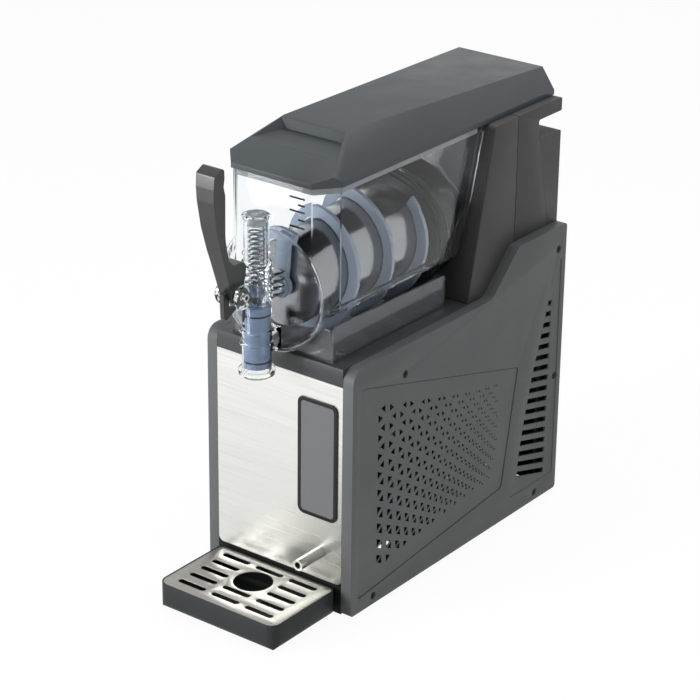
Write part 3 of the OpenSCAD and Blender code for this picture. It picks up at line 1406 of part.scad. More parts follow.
// The lever: its outline lies forward and up from its pivot, in shares of its height
handle_w = 23.4;
handle_low_w = 15.5;
handle_top = 143;
hub_r = 9;
tail_w = 5;
lever_gap = 0.5;
lever_side_shares = [
    [-0.0979, 0.0594], [-0.1783, 0.3042], [-0.2063, 0.3846], [-0.2552, 0.5594], [-0.2867, 0.7552],
    [-0.2902, 0.8531], [-0.2832, 0.9476], [-0.1853, 1], [-0.1783, 0.9091], [-0.1874, 0.8497],
    [-0.1678, 0.7832], [-0.1608, 0.4685], [-0.1224, 0.3077], [-0.0734, 0.2483], [0.035, 0.2434],
    [0.0643, 0.2098], [0.0594, 0.1294], [0.028, 0.028], [-0.028, -0.042], [-0.0839, -0.007]];
lever_radius_shares = [
    0, 0.0839, 0.0839, 0.2098, 0.1399, 0.1399, 0.021, 0.028, 0.042, 0.042, 0.1399, 0.4196, 0.0839, 0.035,
    0.021, 0.021, 0.021, 0, 0, 0];
tail_side_shares = [
    [-0.1329, 0.042], [-0.1224, -0.1469], [-0.0944, -0.1573], [0.0035, -0.1084], [-0.0035, -0.0839],
    [-0.0699, -0.0804], [-0.0699, 0.042]];
tail_radius_shares = [
    0, 0.014, 0.014, 0.007, 0.007, 0.021, 0];
function from_pivot(p) = [for (q = p) [q[0] + pivot_y, q[1] + pivot_z]];
prong_gap = 0.5;
prong_in = stem_r + prong_gap;
prong_short = 0.6;
prong_out = spool_r - prong_short;
fork_a = -lever_swing/2;
module tap_lever() color("#333333") place() difference() {
    union() {
        intersection() {
            along_x(rounded(from_pivot(handle_top*lever_side_shares), handle_top*lever_radius_shares),
                -handle_w/2, handle_w/2);
            along_y([[-handle_low_w/2, pivot_z - hub_r], [handle_low_w/2, pivot_z - hub_r],
                [handle_low_w/2, pivot_z + hub_r], [handle_w/2, pivot_z + handle_top + over],
                [-handle_w/2, pivot_z + handle_top + over], [-handle_low_w/2, pivot_z + hub_r]],
                pivot_y - lever_out - over, pivot_y + ear_r);
        }
        along_x(rounded(from_pivot(handle_top*tail_side_shares), handle_top*tail_radius_shares),
            -tail_w/2, tail_w/2);
        rod_x(pivot_y, pivot_z, hub_r, -ear_out + ear_t + lever_gap, ear_out - ear_t - lever_gap);
        both_sides() {
            translate([0, pivot_y, pivot_z]) rotate([fork_a, 0, 0])
                block([prong_in, 0, -prong_t], [prong_out, fork_r, prong_t]);
            rod_x(pivot_y + fork_r*cos(fork_a), tip_z, tip_r, prong_in, prong_out);
        }
    }
    rod_x(pivot_y, pivot_z, pin_r + run_gap, -ear_out, ear_out);
}

// Drip tray and grid

tray_back = -3.1;
tray_low = -1.5;
tray_high = tray_low + tray_h;
tray_foot_r = 10;
grid_rim = 1.1;
grid_sink = 0.3;
grid_t = 1.2;
function tray_plan(d) = rounded([[-tray_w/2 + d, -tray_out + d], [tray_w/2 - d, -tray_out + d],
    [tray_w/2 - d, tray_back - d], [-tray_w/2 + d, tray_back - d]],
    [tray_r - d, tray_r - d, tray_r/2, tray_r/2]);
module tray_form(d, top) intersection() {
    translate([0, 0, tray_low]) linear_extrude(top - tray_low) polygon(tray_plan(d));
    along_x(rounded([[-tray_out + d, tray_low + d], [tray_back - d, tray_low + d], [tray_back - d, top],
        [-tray_out + d, top]], [tray_foot_r - d, tray_foot_r - d, 0, 0]), -tray_w/2, tray_w/2);
    along_y(rounded([[-tray_w/2 + d, tray_low + d], [tray_w/2 - d, tray_low + d], [tray_w/2 - d, top],
        [-tray_w/2 + d, top]], [tray_foot_r - d, tray_foot_r - d, 0, 0]), -tray_out, tray_back);
}
rib_w = 22;
rib_h = 7;
module drip_tray() color("#3d4041") place() {
    difference() {
        tray_form(0, tray_high);
        difference() {
            tray_form(tray_t, tray_high + over);
            block([-rib_w/2, grid_row_y(hole_row) - tray_t, tray_low], [rib_w/2, grid_row_y(hole_row)
                + tray_t,
                tray_low + tray_t + rib_h]);
        }
        translate([0, 0, tray_high - ledge_drop]) linear_extrude(ledge_drop + over)
            polygon(tray_plan(grid_rim));
    }
    both_sides() block([tongue_x - tongue_w/2, tray_back - tray_t/2, tongue_z],
        [tongue_x + tongue_w/2, tongue_l, tongue_z + tongue_t]);
}
ledge_drop = grid_sink + grid_t;
grid_pitch = 17.9;
grid_first = 12.8;
grid_row_n = 5;
// The hole under the tap lies between the second and the third row
hole_row = 1.5;
column_x = 44.5;
function grid_row_y(i) = tray_back - grid_first - i*grid_pitch;
module grid_slot(x, y) translate([x, y]) {
    square([grid_slot_l - grid_slot_w, grid_slot_w], center = true);
    for (s = [-1, 1]) translate([s*(grid_slot_l - grid_slot_w)/2, 0]) circle(r = grid_slot_w/2);
}
module drip_grid() color("#c9c9c4") place() translate([0, 0, tray_high - ledge_drop]) linear_extrude(grid_t)
    difference() {
        polygon(tray_plan(grid_rim + seat_gap));
        for (i = [0:grid_row_n - 1]) {
            for (x = [-column_x, column_x]) grid_slot(x, grid_row_y(i));
            if (i < hole_row - over || i > hole_row + over) grid_slot(0, grid_row_y(i));
        }
        translate([0, grid_row_y(hole_row)]) circle(r = grid_hole_r);
    }

base_pan();
feet();
left_side_panel();
right_side_panel();
left_grille();
right_grille();
panel_screws();
front_panel();
plinth();
deck();
display_frame();
display_glass();
control_board();
drain_tube();
drain_hose();
condensate_tray();
tower_front();
tower_back();
rear_panel();
evaporator_drum();
drum_flange();
drum_seal();
front_bush();
gearbox();
gear_motor();
motor_bracket();
compressor();
compressor_mounts();
condenser();
fan_shroud();
fan_motor();
fan();
suction_pipe();
discharge_pipe();
filter_drier();
power_supply();
power_inlet();
switch_frame();
switch_rocker();
bowl();
tap_body();
tap_cap();
tap_spring();
pivot_pin();
tap_lever();
piston();
piston_rings();
lid();
lid_seal();
auger();
drive_shaft();
auger_nose();
drip_tray();
drip_grid();
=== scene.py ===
import json
import math

import bpy
from mathutils import Matrix, Vector

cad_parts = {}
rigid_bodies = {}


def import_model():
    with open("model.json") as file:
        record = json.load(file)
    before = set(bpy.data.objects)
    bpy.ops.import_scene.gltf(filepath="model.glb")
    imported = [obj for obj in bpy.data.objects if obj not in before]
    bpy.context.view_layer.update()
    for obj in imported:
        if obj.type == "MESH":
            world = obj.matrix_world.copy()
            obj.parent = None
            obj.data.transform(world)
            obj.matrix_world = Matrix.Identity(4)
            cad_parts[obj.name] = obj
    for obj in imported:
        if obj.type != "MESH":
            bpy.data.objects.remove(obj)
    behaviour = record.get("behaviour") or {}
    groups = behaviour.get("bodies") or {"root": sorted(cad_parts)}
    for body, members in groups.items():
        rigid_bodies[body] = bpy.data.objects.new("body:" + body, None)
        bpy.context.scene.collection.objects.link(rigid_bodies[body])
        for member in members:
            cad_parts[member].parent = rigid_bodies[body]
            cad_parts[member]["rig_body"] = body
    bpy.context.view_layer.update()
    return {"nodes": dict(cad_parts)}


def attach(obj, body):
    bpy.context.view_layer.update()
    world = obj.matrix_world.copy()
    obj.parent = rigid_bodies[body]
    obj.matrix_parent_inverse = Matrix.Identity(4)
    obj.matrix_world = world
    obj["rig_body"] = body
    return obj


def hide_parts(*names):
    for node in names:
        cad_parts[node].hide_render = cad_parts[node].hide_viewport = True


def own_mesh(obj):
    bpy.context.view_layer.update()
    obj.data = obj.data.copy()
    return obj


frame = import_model()
nodes = frame["nodes"]

MM_PER_M = 1000
# The CAD's own y = 0 and z = 0 planes (front and bottom of the side panels) in the shared frame, in metres
FRONT_Y = -0.136
PANEL_Z = 0.005


def at(x, y, z):
    """A point given in millimetres from the front and bottom of the side panels."""
    return Vector((x / MM_PER_M, y / MM_PER_M + FRONT_Y, z / MM_PER_M + PANEL_Z))


# Camera, fitted to the photograph: angles in degrees, its target in millimetres, its distance in metres

CAMERA_AZIMUTH = 37.2196
CAMERA_ELEVATION = 24.026
CAMERA_ROLL = 0.6892
CAMERA_TARGET = (-0.963, 120.006, 235.254)
CAMERA_DISTANCE = 2.66385
FOCAL_PIXELS = 2532.37
PICTURE_PIXELS = 700
SENSOR_MM = 36
FARTHEST_SEEN = 50


def place_camera():
    azimuth, elevation = math.radians(CAMERA_AZIMUTH), math.radians(CAMERA_ELEVATION)
    roll = math.radians(CAMERA_ROLL)
    back = Vector((math.sin(azimuth) * math.cos(elevation), -math.cos(azimuth) * math.cos(elevation),
                   math.sin(elevation)))
    right = (-back).cross(Vector((0, 0, 1))).normalized()
    up = right.cross(-back)
    tilted_right = math.cos(roll) * right + math.sin(roll) * up
    tilted_up = math.cos(roll) * up - math.sin(roll) * right
    data = bpy.data.cameras.new("camera")
    data.sensor_width = SENSOR_MM
    data.lens = FOCAL_PIXELS / PICTURE_PIXELS * SENSOR_MM
    data.clip_end = FARTHEST_SEEN
    camera = bpy.data.objects.new("camera", data)
    bpy.context.scene.collection.objects.link(camera)
    turn = Matrix((tilted_right, tilted_up, back)).transposed()
    place = at(*CAMERA_TARGET) + back * CAMERA_DISTANCE
    camera.matrix_world = Matrix.Translation(place) @ turn.to_4x4()
    bpy.context.scene.camera = camera


place_camera()
bpy.context.scene.view_settings.view_transform = "Standard"


# Colours

# The sRGB curve: a straight start up to the knee, then a power
SRGB_KNEE, SRGB_SLOPE = 0.04045, 12.92
SRGB_OFFSET, SRGB_POWER = 0.055, 2.4


def linear(value):
    if value <= SRGB_KNEE:
        return value / SRGB_SLOPE
    return ((value + SRGB_OFFSET) / (1 + SRGB_OFFSET)) ** SRGB_POWER


def colour(text):
    """Linear colour of an sRGB hex text such as #4d5050."""
    return [linear(int(text[i:i + 2], 16) / 255) for i in (1, 3, 5)] + [1]


def shaded(text, share):
    """The same colour, darker or lighter by a share."""
    return [min(1, c * share) for c in colour(text)[:3]] + [1]


# Ways to make a finish

# Nearly all values of a noise lie between these two
NOISE_LOW, NOISE_HIGH = 0.3, 0.7


class Shader:
    """A Principled material with a few short helpers for its nodes."""

    def __init__(self, name, base, rough, metallic=0.0, **values):
        self.material = bpy.data.materials.new(name)
        self.material.use_nodes = True
        self.tree = self.material.node_tree
        self.shader = self.tree.nodes["Principled BSDF"]
        self.set("Base Color", colour(base))
        self.set("Roughness", rough)
        self.set("Metallic", metallic)
        for key, value in values.items():
            self.set(key.replace("_", " "), value)

    def set(self, key, value):
        self.shader.inputs[key].default_value = value

    def node(self, kind, **inputs):
        made = self.tree.nodes.new(kind)
        for key, value in inputs.items():
            socket = made.inputs[key.replace("_", " ")]
            if isinstance(value, bpy.types.NodeSocket):
                self.tree.links.new(value, socket)
            else:
                socket.default_value = value
        return made

    def coordinates(self, stretch=(1, 1, 1)):
        place = self.tree.nodes.new("ShaderNodeTexCoord")
        mapping = self.node("ShaderNodeMapping", Vector=place.outputs["Object"], Scale=stretch)
        return mapping.outputs["Vector"]

    def noise(self, scale, detail=2.0, stretch=(1, 1, 1)):
        made = self.node("ShaderNodeTexNoise", Vector=self.coordinates(stretch), Scale=scale, Detail=detail)
        return made.outputs["Fac"]

    def vary_colour(self, source, low, high, start=NOISE_LOW, end=NOISE_HIGH):
        ramp = self.tree.nodes.new("ShaderNodeValToRGB")
        ramp.color_ramp.elements[0].position = start
        ramp.color_ramp.elements[1].position = end
        ramp.color_ramp.elements[0].color = low
        ramp.color_ramp.elements[1].color = high
        self.tree.links.new(source, ramp.inputs["Fac"])
        self.tree.links.new(ramp.outputs["Color"], self.shader.inputs["Base Color"])

    def vary_rough(self, source, low, high):
        ranged = self.node("ShaderNodeMapRange", Value=source)
        ranged.inputs["From Min"].default_value = NOISE_LOW
        ranged.inputs["From Max"].default_value = NOISE_HIGH
        ranged.inputs["To Min"].default_value = low
        ranged.inputs["To Max"].default_value = high
        self.tree.links.new(ranged.outputs["Result"], self.shader.inputs["Roughness"])

    def bump(self, source, strength, depth):
        made = self.node("ShaderNodeBump", Height=source, Strength=strength, Distance=depth)
        self.tree.links.new(made.outputs["Normal"], self.shader.inputs["Normal"])


def per_metre(size_mm):
    """Noise scale whose features are about this many millimetres across."""
    return MM_PER_M / size_mm


# Sizes of the slow changes of tone and sheen
TONE_MM, SHEEN_MM = 110, 37
SHEEN_DOWN, SHEEN_UP = 0.05, 0.06
# Spark-eroded grain is really about 0.1 mm; at the picture's 1 mm a pixel it is drawn at these sizes. Its
# depth is in metres.
FINE_GRAIN_MM, GRAIN_MM, PANEL_GRAIN_MM, RUBBER_GRAIN_MM = 0.55, 0.67, 0.77, 1.1
GRAIN_DEPTH = 0.0002


def grained(name, base, rough, grain_mm, relief, spread, shine):
    """A dull surface with a fine grain and slow changes of tone and sheen."""
    made = Shader(name, base, rough, Specular_IOR_Level=shine)
    tone = made.noise(per_metre(TONE_MM), detail=3)
    made.vary_colour(tone, shaded(base, 1 - spread), shaded(base, 1 + spread))
    sheen = made.noise(per_metre(SHEEN_MM), detail=4)
    made.vary_rough(sheen, rough - SHEEN_DOWN, rough + SHEEN_UP)
    made.bump(made.noise(per_metre(grain_mm)), relief, GRAIN_DEPTH)
    return made.material


def moulded(name, base, rough, grain_mm=GRAIN_MM, relief=0.25, spread=0.06, shine=0.25):
    """Moulded plastic or rubber with the grain of its mould."""
    return grained(name, base, rough, grain_mm, relief, spread, shine)


def printed(name, base, rough, relief=0.25, spread=0.06, shine=0.25):
    """Screen-printed ink, which takes on the grain of its mesh."""
    return grained(name, base, rough, GRAIN_MM, relief, spread, shine)


def blackened(name, base, rough, relief=0.1, spread=0.06, shine=0.12):
    """Turned steel with a black oxide coat, which hardly shines."""
    return grained(name, base, rough, FINE_GRAIN_MM, relief, spread, shine)


def streaks(along, run_mm, line_mm):
    """Stretch of a noise into lines along one axis: their length and their spacing in millimetres."""
    return [per_metre(run_mm if axis == along else line_mm) for axis in "XYZ"]


# Relief of the streaks in metres; the clouds under them are drawn at this share of the scale of the streaks
BRUSH_DEPTH = 0.00005
CLOUD_STRETCH = 0.6
CLOUD_DARK, CLOUD_LIGHT = 0.94, 1.03


def brushed(name, base, low, high, stretch, relief=0.12):
    """Brushed or drawn metal: fine streaks that change its roughness and relief, under faint clouds."""
    made = Shader(name, base, low, metallic=1.0)
    streak = made.noise(1, detail=3, stretch=stretch)
    made.vary_rough(streak, low, high)
    cloud = made.noise(1, stretch=[share * CLOUD_STRETCH for share in stretch])
    made.vary_colour(cloud, shaded(base, CLOUD_DARK), shaded(base, CLOUD_LIGHT))
    made.bump(streak, relief, BRUSH_DEPTH)
    return made.material


# Size of the waves in a clear wall, and their relief, whose depth is in metres
WAVE_MM = 70
WAVE_RELIEF, WAVE_DEPTH = 0.02, 0.002


def clear(name, base, rough, ior, share=1.0):
    """Clear moulded plastic, a little wavy as thin mouldings are."""
    made = Shader(name, base, rough, IOR=ior, Transmission_Weight=share)
    made.bump(made.noise(per_metre(WAVE_MM)), WAVE_RELIEF, WAVE_DEPTH)
    return made.material


def frosted(name, base, rough, cloud_mm=60, spread=0.05):
    """Natural plastic that lets some light through, with a soft sheen."""
    made = Shader(name, base, rough, IOR=1.3, Transmission_Weight=0.4)
    cloud = made.noise(per_metre(cloud_mm))
    made.vary_colour(cloud, shaded(base, 1 - spread), shaded(base, 1 + spread))
    return made.material


def coated(name, base, rough, metallic=0.0, cloud_mm=40, spread=0.1, peel_mm=1.4, relief=0.15):
    """Cast, plated or painted metal, with faint clouding and orange peel of about 1.4 mm."""
    made = Shader(name, base, rough, metallic)
    cloud = made.noise(per_metre(cloud_mm), detail=4)
    made.vary_colour(cloud, shaded(base, 1 - spread), shaded(base, 1 + spread))
    made.bump(made.noise(per_metre(peel_mm)), relief, GRAIN_DEPTH)
    return made.material


# The steel front's colour is a painted reflection: a bright room and, near its foot on the display's side,
# the dark tray. It goes from the first colour to the second over these stretches of height and width, in
# metres.
FRONT_PAINTED_TRAY_REFLECTION, FRONT_PAINTED_ROOM_REFLECTION = "#8b8c87", "#d4d4d1"
PAINTED_REFLECTION_FADES = (("Z", 0.05, 0.2), ("X", 0.08, -0.03))
# Stretch of its streaks: almost none along the sheet, and 0.7 mm apart over its height
FRONT_STREAKS = (6, 6, per_metre(0.7))


def steel_with_painted_reflection(name, base, low, high, relief=0.1):
    """Brushed stainless steel whose colour holds a painted reflection of what stands before it."""
    made = Shader(name, base, 0.3, metallic=1.0)
    streak = made.noise(1, detail=3, stretch=FRONT_STREAKS)
    made.vary_rough(streak, low, high)
    made.bump(streak, relief, BRUSH_DEPTH)
    place = made.tree.nodes.new("ShaderNodeTexCoord")
    parts = made.node("ShaderNodeSeparateXYZ", Vector=place.outputs["Object"])
    # Painted reflection: the shares of height and width added up, darkest low on the display's side
    painted_reflection_sum = made.node("ShaderNodeMath")
    painted_reflection_sum.operation = "ADD"
    for socket, (axis, start, end) in zip(painted_reflection_sum.inputs, PAINTED_REFLECTION_FADES):
        ranged = made.node("ShaderNodeMapRange", Value=parts.outputs[axis])
        ranged.inputs["From Min"].default_value = start
        ranged.inputs["From Max"].default_value = end
        made.tree.links.new(ranged.outputs["Result"], socket)
    # Painted reflection of the dark tray and the bright room, put into the base colour
    made.vary_colour(painted_reflection_sum.outputs["Value"], colour(FRONT_PAINTED_TRAY_REFLECTION), colour(FRONT_PAINTED_ROOM_REFLECTION), 0.0, 1.0)
    return made.material


# The materials of the machine

materials = {
    # ABS with a spark-eroded grain: even, dull grey
    "panel": moulded("ABS, textured grey", "#4d5050", 0.5, PANEL_GRAIN_MM, 0.3),
    "tower": moulded("ABS, textured dark grey", "#383839", 0.5, PANEL_GRAIN_MM, 0.3),
    # ABS from a finer mould: a softer, wider sheen
    "lid": moulded("ABS, satin blue-grey", "#3a3f41", 0.42, relief=0.18),
    "deck": moulded("ABS, satin charcoal", "#363738", 0.38, relief=0.18),
    # ABS and polypropylene that hardly shine, down in the machine's own shade
    "plinth": moulded("ABS, black", "#151616", 0.45, shine=0.1),
    "tray": moulded("polypropylene, satin charcoal", "#262929", 0.45, relief=0.2, shine=0.15),
    # Nylon from a polished mould: deep black with a clear highlight
    "lever": moulded("nylon, satin black", "#101011", 0.38, FINE_GRAIN_MM, 0.1, shine=0.65),
    "black": moulded("ABS, gloss black", "#101010", 0.35, shine=0.25),
    "red": moulded("polycarbonate, red", "#b3261e", 0.3, FINE_GRAIN_MM, 0.05, shine=0.5),
    # Printed acrylic window: a mirror-like coat over an even grey print
    "screen": Shader("acrylic, grey printed", "#505254", 0.12,
                     Coat_Weight=0.6, Coat_Roughness=0.03).material,
    "print": printed("screen-printed ink, black", "#1c1d1f", 0.5),
    # Stainless steel: streaks of about 0.7 to 1.1 mm show where real brushing is finer
    # Brushed front steel with a painted reflection in its colour
    "front steel with painted reflection": steel_with_painted_reflection("stainless steel, brushed front, painted reflection", "#dcdcd8", 0.26, 0.38),
    "grid steel": brushed("stainless steel, brushed grid", "#9b9a95", 0.34, 0.46, streaks("X", 200, 1.1)),
    "tube steel": brushed("stainless steel, drawn tube", "#c4c4c1", 0.18, 0.3, streaks("Y", 200, 1.1), 0.05),
    "drum steel": brushed("stainless steel, polished", "#97989a", 0.14, 0.2, streaks("X", 250, 6), 0.01),
    "spring": brushed("spring steel, drawn wire", "#7b7d80", 0.2, 0.26, streaks("Z", 9, 0.8), 0.03),
    "pin": brushed("stainless steel, turned pin", "#c8c8c7", 0.14, 0.2, streaks("X", 0.8, 30), 0.03),
    "screw": blackened("steel screws, black oxide", "#0c0c0c", 0.3),
    "zinc": coated("steel sheet, zinc plated", "#9c9ea0", 0.4, 0.9),
    # Clear polycarbonate. Its index is 1.58; the product's thin walls bend the view less than these
    # solid ones, so the bowl and the tap have a lower one.
    "clear": clear("polycarbonate, clear bowl", "#fcfeff", 0.02, 1.2),
    "clear tap": clear("polycarbonate, clear tap", "#f9fbfc", 0.02, 1.26),
    "catch": clear("polycarbonate, smoky tray", "#d6dbdf", 0.04, 1.3, 0.94),
    "hose": clear("silicone hose, frosted", "#e3e8ea", 0.35, 1.4),
    # Polypropylene, smooth, slightly waxy and a little translucent
    "auger": frosted("polypropylene, frosted blue auger", "#9fabbd", 0.4),
    # Acetal, opaque with a soft gloss
    "nose": moulded("acetal, grey nose", "#7c8795", 0.4, shine=0.4),
    "piston": moulded("acetal, blue-grey piston", "#63758f", 0.3, FINE_GRAIN_MM, 0.05, shine=0.4),
    "cap": moulded("acetal, grey cap", "#8b9296", 0.25, shine=0.5),
    # Rubber and silicone: coarser grain, no gloss
    "rubber": moulded("rubber, black", "#121212", 0.7, RUBBER_GRAIN_MM, 0.3),
    "grey rubber": moulded("silicone seal, grey", "#7d7f80", 0.6, RUBBER_GRAIN_MM, 0.2),
    # Inside the machine
    "brass": coated("brass, turned", "#b08d57", 0.25, 1.0),
    "copper": coated("copper, drawn tube", "#b87333", 0.3, 1.0),
    "aluminium": coated("aluminium, bare sheet", "#a8abad", 0.4, 1.0),
    "motor": coated("cast housing, grey paint", "#6f7377", 0.45),
    "compressor": coated("steel shell, black enamel", "#16171a", 0.2),
    "board": coated("circuit board, green lacquer", "#2f5d46", 0.35),
}

# The nodes that each material dresses
dress_of = {
    "panel": "left_side_panel right_side_panel left_grille right_grille",
    "lid": "lid",
    "tower": "tower_front tower_back rear_panel",
    "deck": "deck",
    "plinth": "plinth",
    "tray": "drip_tray",
    "lever": "tap_lever",
    "black": "display_frame drum_flange fan_shroud fan power_inlet switch_frame",
    "screen": "display_glass",
    "red": "switch_rocker",
    "front steel with painted reflection": "front_panel",
    "grid steel": "drip_grid",
    "tube steel": "drain_tube",
    "drum steel": "evaporator_drum",
    "zinc": "base_pan power_supply",
    "screw": "panel_screws",
    "pin": "pivot_pin drive_shaft",
    "spring": "tap_spring",
    "clear": "bowl",
    "clear tap": "tap_body",
    "catch": "condensate_tray",
    "hose": "drain_hose",
    "auger": "auger",
    "nose": "auger_nose",
    "piston": "piston",
    "cap": "tap_cap",
    "rubber": "feet compressor_mounts drum_seal piston_rings",
    "grey rubber": "lid_seal",
    "brass": "front_bush",
    "copper": "suction_pipe discharge_pipe filter_drier",
    "aluminium": "condenser motor_bracket",
    "motor": "gearbox gear_motor fan_motor",
    "compressor": "compressor",
    "board": "control_board",
}
finish_of = {node: key for key, names in dress_of.items() for node in names.split()}
for name, node in nodes.items():
    node.data.materials.clear()
    node.data.materials.append(materials[finish_of[name]])


# Pieces that take the place of a node, with their edges rounded

# Points closer than this, in metres, are one; faces that meet at less than this angle are one
SAME_POINT = 0.000003
SAME_FACE_DEGREES = 0.4
# Edges sharper than the first angle are rounded; shading is smooth up to the second
ROUNDED_FROM_DEGREES = 30
SMOOTH_TO_DEGREES = 40

# Node, piece, width of the rounding in millimetres and its segments
ROUNDED = (
    ("right_side_panel", "right_panel_shell", 1.2, 3),
    ("left_side_panel", "left_panel_shell", 1.2, 3),
    ("lid", "lid_shell", 2, 3),
    ("tower_front", "tower_front_shell", 1.5, 3),
    ("tower_back", "tower_back_shell", 1.2, 3),
    ("deck", "deck_shell", 0.8, 2),
    ("tap_lever", "lever_body", 1.6, 3),
    ("drip_tray", "tray_shell", 0.5, 2),
    ("drip_grid", "grid_plate", 0.3, 2),
    ("bowl", "bowl_shell", 1.2, 3),
    ("tap_body", "tap_shell", 0.4, 2),
    ("tap_cap", "cap_shell", 0.3, 2),
    ("display_frame", "display_bezel", 0.6, 3),
)


def only(piece):
    """Selects the piece alone, as the operators act on all that is selected."""
    bpy.ops.object.select_all(action="DESELECT")
    piece.select_set(True)
    bpy.context.view_layer.objects.active = piece


def stand_for(piece, node):
    """The piece takes the place of a CAD node, on its body and in its finish."""
    piece.data.materials.clear()
    piece.data.materials.append(materials[finish_of[node]])
    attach(piece, nodes[node]["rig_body"])
    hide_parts(node)


def merged_copy(node, name):
    """The node's form with its triangles merged back into whole faces, ready for rounding."""
    piece = bpy.data.objects.new(name, nodes[node].data.copy())
    bpy.context.scene.collection.objects.link(piece)
    only(piece)
    bpy.ops.object.mode_set(mode="EDIT")
    bpy.ops.mesh.select_all(action="SELECT")
    bpy.ops.mesh.remove_doubles(threshold=SAME_POINT)
    bpy.ops.mesh.dissolve_limited(angle_limit=math.radians(SAME_FACE_DEGREES))
    bpy.ops.object.mode_set(mode="OBJECT")
    bpy.ops.mesh.customdata_custom_splitnormals_clear()
    return piece


def round_edges(piece, width_mm, segments):
    only(piece)
    bevel = piece.modifiers.new("rounding", "BEVEL")
    bevel.width = width_mm / MM_PER_M
    bevel.segments = segments
    bevel.limit_method = "ANGLE"
    bevel.angle_limit = math.radians(ROUNDED_FROM_DEGREES)
    bpy.ops.object.modifier_apply(modifier=bevel.name)
    bpy.ops.object.shade_smooth_by_angle(angle=math.radians(SMOOTH_TO_DEGREES))


for node, name, width_mm, segments in ROUNDED:
    shell = merged_copy(node, name)
    round_edges(shell, width_mm, segments)
    stand_for(shell, node)


# Level marks: short printed bars on the bowl's front wall, drawn one by one from a plane, in millimetres

MARK_X, MARK_L, MARK_H, MARK_T = 31.5, 19.0, 2.0, 0.15
LONG, SHORT = 1.0, 0.45
MARKS = ((421, LONG), (437.5, LONG), (451.5, LONG), (429, SHORT), (444.5, SHORT))
# The bowl's front wall is flat above this height
FLAT_WALL_Z = 440


def bowl_wall_y(low_z):
    """The plane of the bowl's front wall above a height, in millimetres from the panels' front."""
    points = [v.co for v in nodes["bowl"].data.vertices if v.co.z > low_z / MM_PER_M + PANEL_Z]
    return (min(point.y for point in points) - FRONT_Y) * MM_PER_M


def print_level_mark(name, place, length_mm):
    bpy.ops.mesh.primitive_plane_add(size=1, location=(0, 0, 0))
    bar = bpy.context.object
    bar.name = name
    bpy.ops.object.mode_set(mode="EDIT")
    bpy.ops.transform.rotate(value=math.radians(90), orient_axis="X", center_override=(0, 0, 0))
    bpy.ops.transform.resize(value=(length_mm / MM_PER_M, 1, MARK_H / MM_PER_M))
    bpy.ops.mesh.extrude_region_move(TRANSFORM_OT_translate={"value": (0, -MARK_T / MM_PER_M, 0)})
    bpy.ops.mesh.select_all(action="SELECT")
    bpy.ops.mesh.normals_make_consistent(inside=False)
    bpy.ops.transform.translate(value=tuple(place))
    bpy.ops.object.mode_set(mode="OBJECT")
    bar.data.materials.append(materials["print"])
    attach(bar, nodes["bowl"]["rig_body"])


wall_y = bowl_wall_y(FLAT_WALL_Z)
for i, (z, share) in enumerate(MARKS):
    # All bars end at the same right edge
    middle_x = MARK_X + MARK_L * (1 - share) / 2
    print_level_mark(f"level_mark_{i + 1}", at(middle_x, wall_y, z), MARK_L * share)


# The closing spring: a round wire swept along the same helix as in the CAD, in millimetres

SPRING_LOW, SPRING_HIGH = 353.99, 424.0
SPRING_R, WIRE_R, TURNS, TAP_Y = 7.6, 0.9, 12.5, -35.0
STEPS_PER_TURN = 28
# Free height at each end before the coils start, in wire radii
END_SHARE = 3
# The wire is a hair thicker than the CAD's, whose flat sides lie within the true round
WIRE_SHARE = 1.02
WIRE_RESOLUTION = 4
WIRE_SMOOTH_DEGREES = 50


def spring_point(turns, z):
    angle = 2 * math.pi * turns
    return at(SPRING_R * math.cos(angle), TAP_Y + SPRING_R * math.sin(angle), z)


def spring_path():
    low, high = SPRING_LOW + WIRE_R * END_SHARE, SPRING_HIGH - WIRE_R * END_SHARE
    steps = int(TURNS * STEPS_PER_TURN)
    coils = [spring_point(TURNS * i / steps, low + (high - low) * i / steps) for i in range(steps + 1)]
    return [at(SPRING_R, TAP_Y, SPRING_LOW), *coils,
            at(SPRING_R * math.cos(2 * math.pi * TURNS), TAP_Y, SPRING_HIGH)]


def make_spring():
    path = spring_path()
    curve = bpy.data.curves.new("tap_spring_wire", "CURVE")
    curve.dimensions = "3D"
    curve.bevel_depth = WIRE_R / MM_PER_M * WIRE_SHARE
    curve.bevel_resolution = WIRE_RESOLUTION
    curve.use_fill_caps = True
    line = curve.splines.new("POLY")
    line.points.add(len(path) - 1)
    for point, place in zip(line.points, path):
        point.co = (*place, 1)
    piece = bpy.data.objects.new("tap_spring_wire", curve)
    bpy.context.scene.collection.objects.link(piece)
    only(piece)
    bpy.ops.object.convert(target="MESH")
    piece = bpy.context.object
    bpy.ops.object.shade_smooth_by_angle(angle=math.radians(WIRE_SMOOTH_DEGREES))
    stand_for(piece, "tap_spring")
    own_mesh(piece)


make_spring()


# Light: name, place and size in metres, power in watts

LAMPS = (
    ("key", (-1.0, -2.1, 0.7), 1.2, 70),
    ("top", (0.1, 0.4, 2.3), 1.4, 28),
    ("side", (2.2, 0.2, 1.1), 1.2, 14),
)
LIT_POINT = (0, 0, 0.25)


def soft_light(name, place, size, power):
    data = bpy.data.lights.new(name, "AREA")
    data.shape = "SQUARE"
    data.size = size
    data.energy = power
    lamp = bpy.data.objects.new(name, data)
    bpy.context.scene.collection.objects.link(lamp)
    lamp.location = place
    lamp.rotation_euler = (Vector(LIT_POINT) - Vector(place)).to_track_quat("-Z", "Y").to_euler()


for name, place, size, power in LAMPS:
    soft_light(name, place, size, power)


# Floor and background

WORLD_GREY = 0.32
FLOOR_GLOW = 0.94
FLOOR_SIZE = 30
FLOOR_PAINT = 0.9
FLOOR_ROUGHNESS = 0.8
WHITE = (1, 1, 1, 1)


def grey(level):
    return (level, level, level, 1)


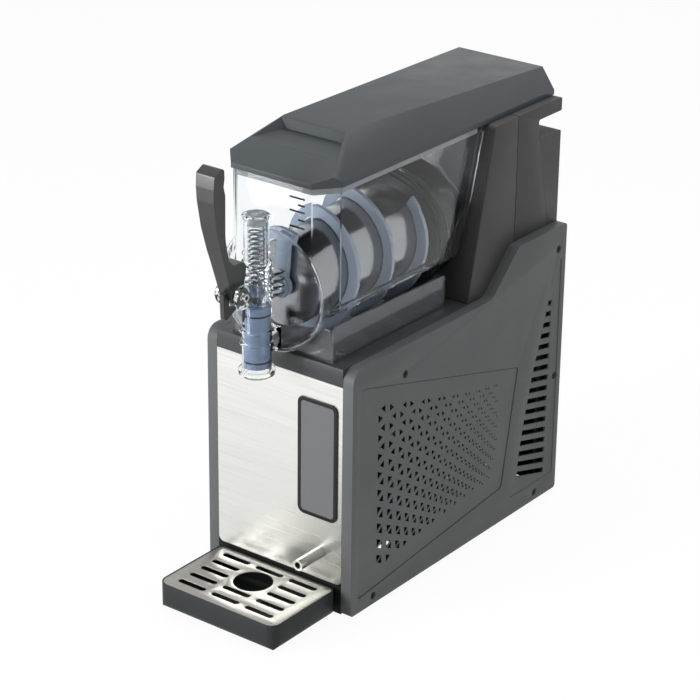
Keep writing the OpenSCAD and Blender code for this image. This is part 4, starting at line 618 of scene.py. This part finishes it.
def background_share(tree, value):
    """A share that is full where the background is seen, also in metal or through clear plastic."""
    path = tree.nodes.new("ShaderNodeLightPath")
    seen = path.outputs["Is Camera Ray"]
    for kind in ("Is Glossy Ray", "Is Transmission Ray"):
        either = tree.nodes.new("ShaderNodeMath")
        either.operation = "MAXIMUM"
        tree.links.new(seen, either.inputs[0])
        tree.links.new(path.outputs[kind], either.inputs[1])
        seen = either.outputs["Value"]
    share = tree.nodes.new("ShaderNodeMath")
    share.operation = "MULTIPLY"
    share.inputs[1].default_value = value
    tree.links.new(seen, share.inputs[0])
    return share.outputs["Value"]


def mix_in_background(tree, share, own, seen, surface):
    """Joins the surface's own shader and the one seen as background by their share."""
    mix = tree.nodes.new("ShaderNodeMixShader")
    tree.links.new(background_share(tree, share), mix.inputs["Fac"])
    tree.links.new(own, mix.inputs[1])
    tree.links.new(seen, mix.inputs[2])
    tree.links.new(mix.outputs["Shader"], surface)


def make_world():
    world = bpy.data.worlds.new("studio")
    bpy.context.scene.world = world
    world.use_nodes = True
    tree = world.node_tree
    background = tree.nodes["Background"]
    background.inputs["Color"].default_value = grey(WORLD_GREY)
    white = tree.nodes.new("ShaderNodeBackground")
    white.inputs["Color"].default_value = WHITE
    mix_in_background(tree, 1.0, background.outputs["Background"], white.outputs["Background"],
                      tree.nodes["World Output"].inputs["Surface"])


def make_floor():
    bpy.ops.mesh.primitive_plane_add(size=FLOOR_SIZE, location=(0, 0, 0))
    floor = bpy.context.object
    floor.name = "floor"
    material = bpy.data.materials.new("white studio floor")
    material.use_nodes = True
    tree = material.node_tree
    diffuse = tree.nodes["Principled BSDF"]
    diffuse.inputs["Base Color"].default_value = grey(FLOOR_PAINT)
    diffuse.inputs["Roughness"].default_value = FLOOR_ROUGHNESS
    glow = tree.nodes.new("ShaderNodeEmission")
    glow.inputs["Color"].default_value = WHITE
    mix_in_background(tree, FLOOR_GLOW, diffuse.outputs["BSDF"], glow.outputs["Emission"],
                      tree.nodes["Material Output"].inputs["Surface"])
    floor.data.materials.append(material)


make_world()
make_floor()
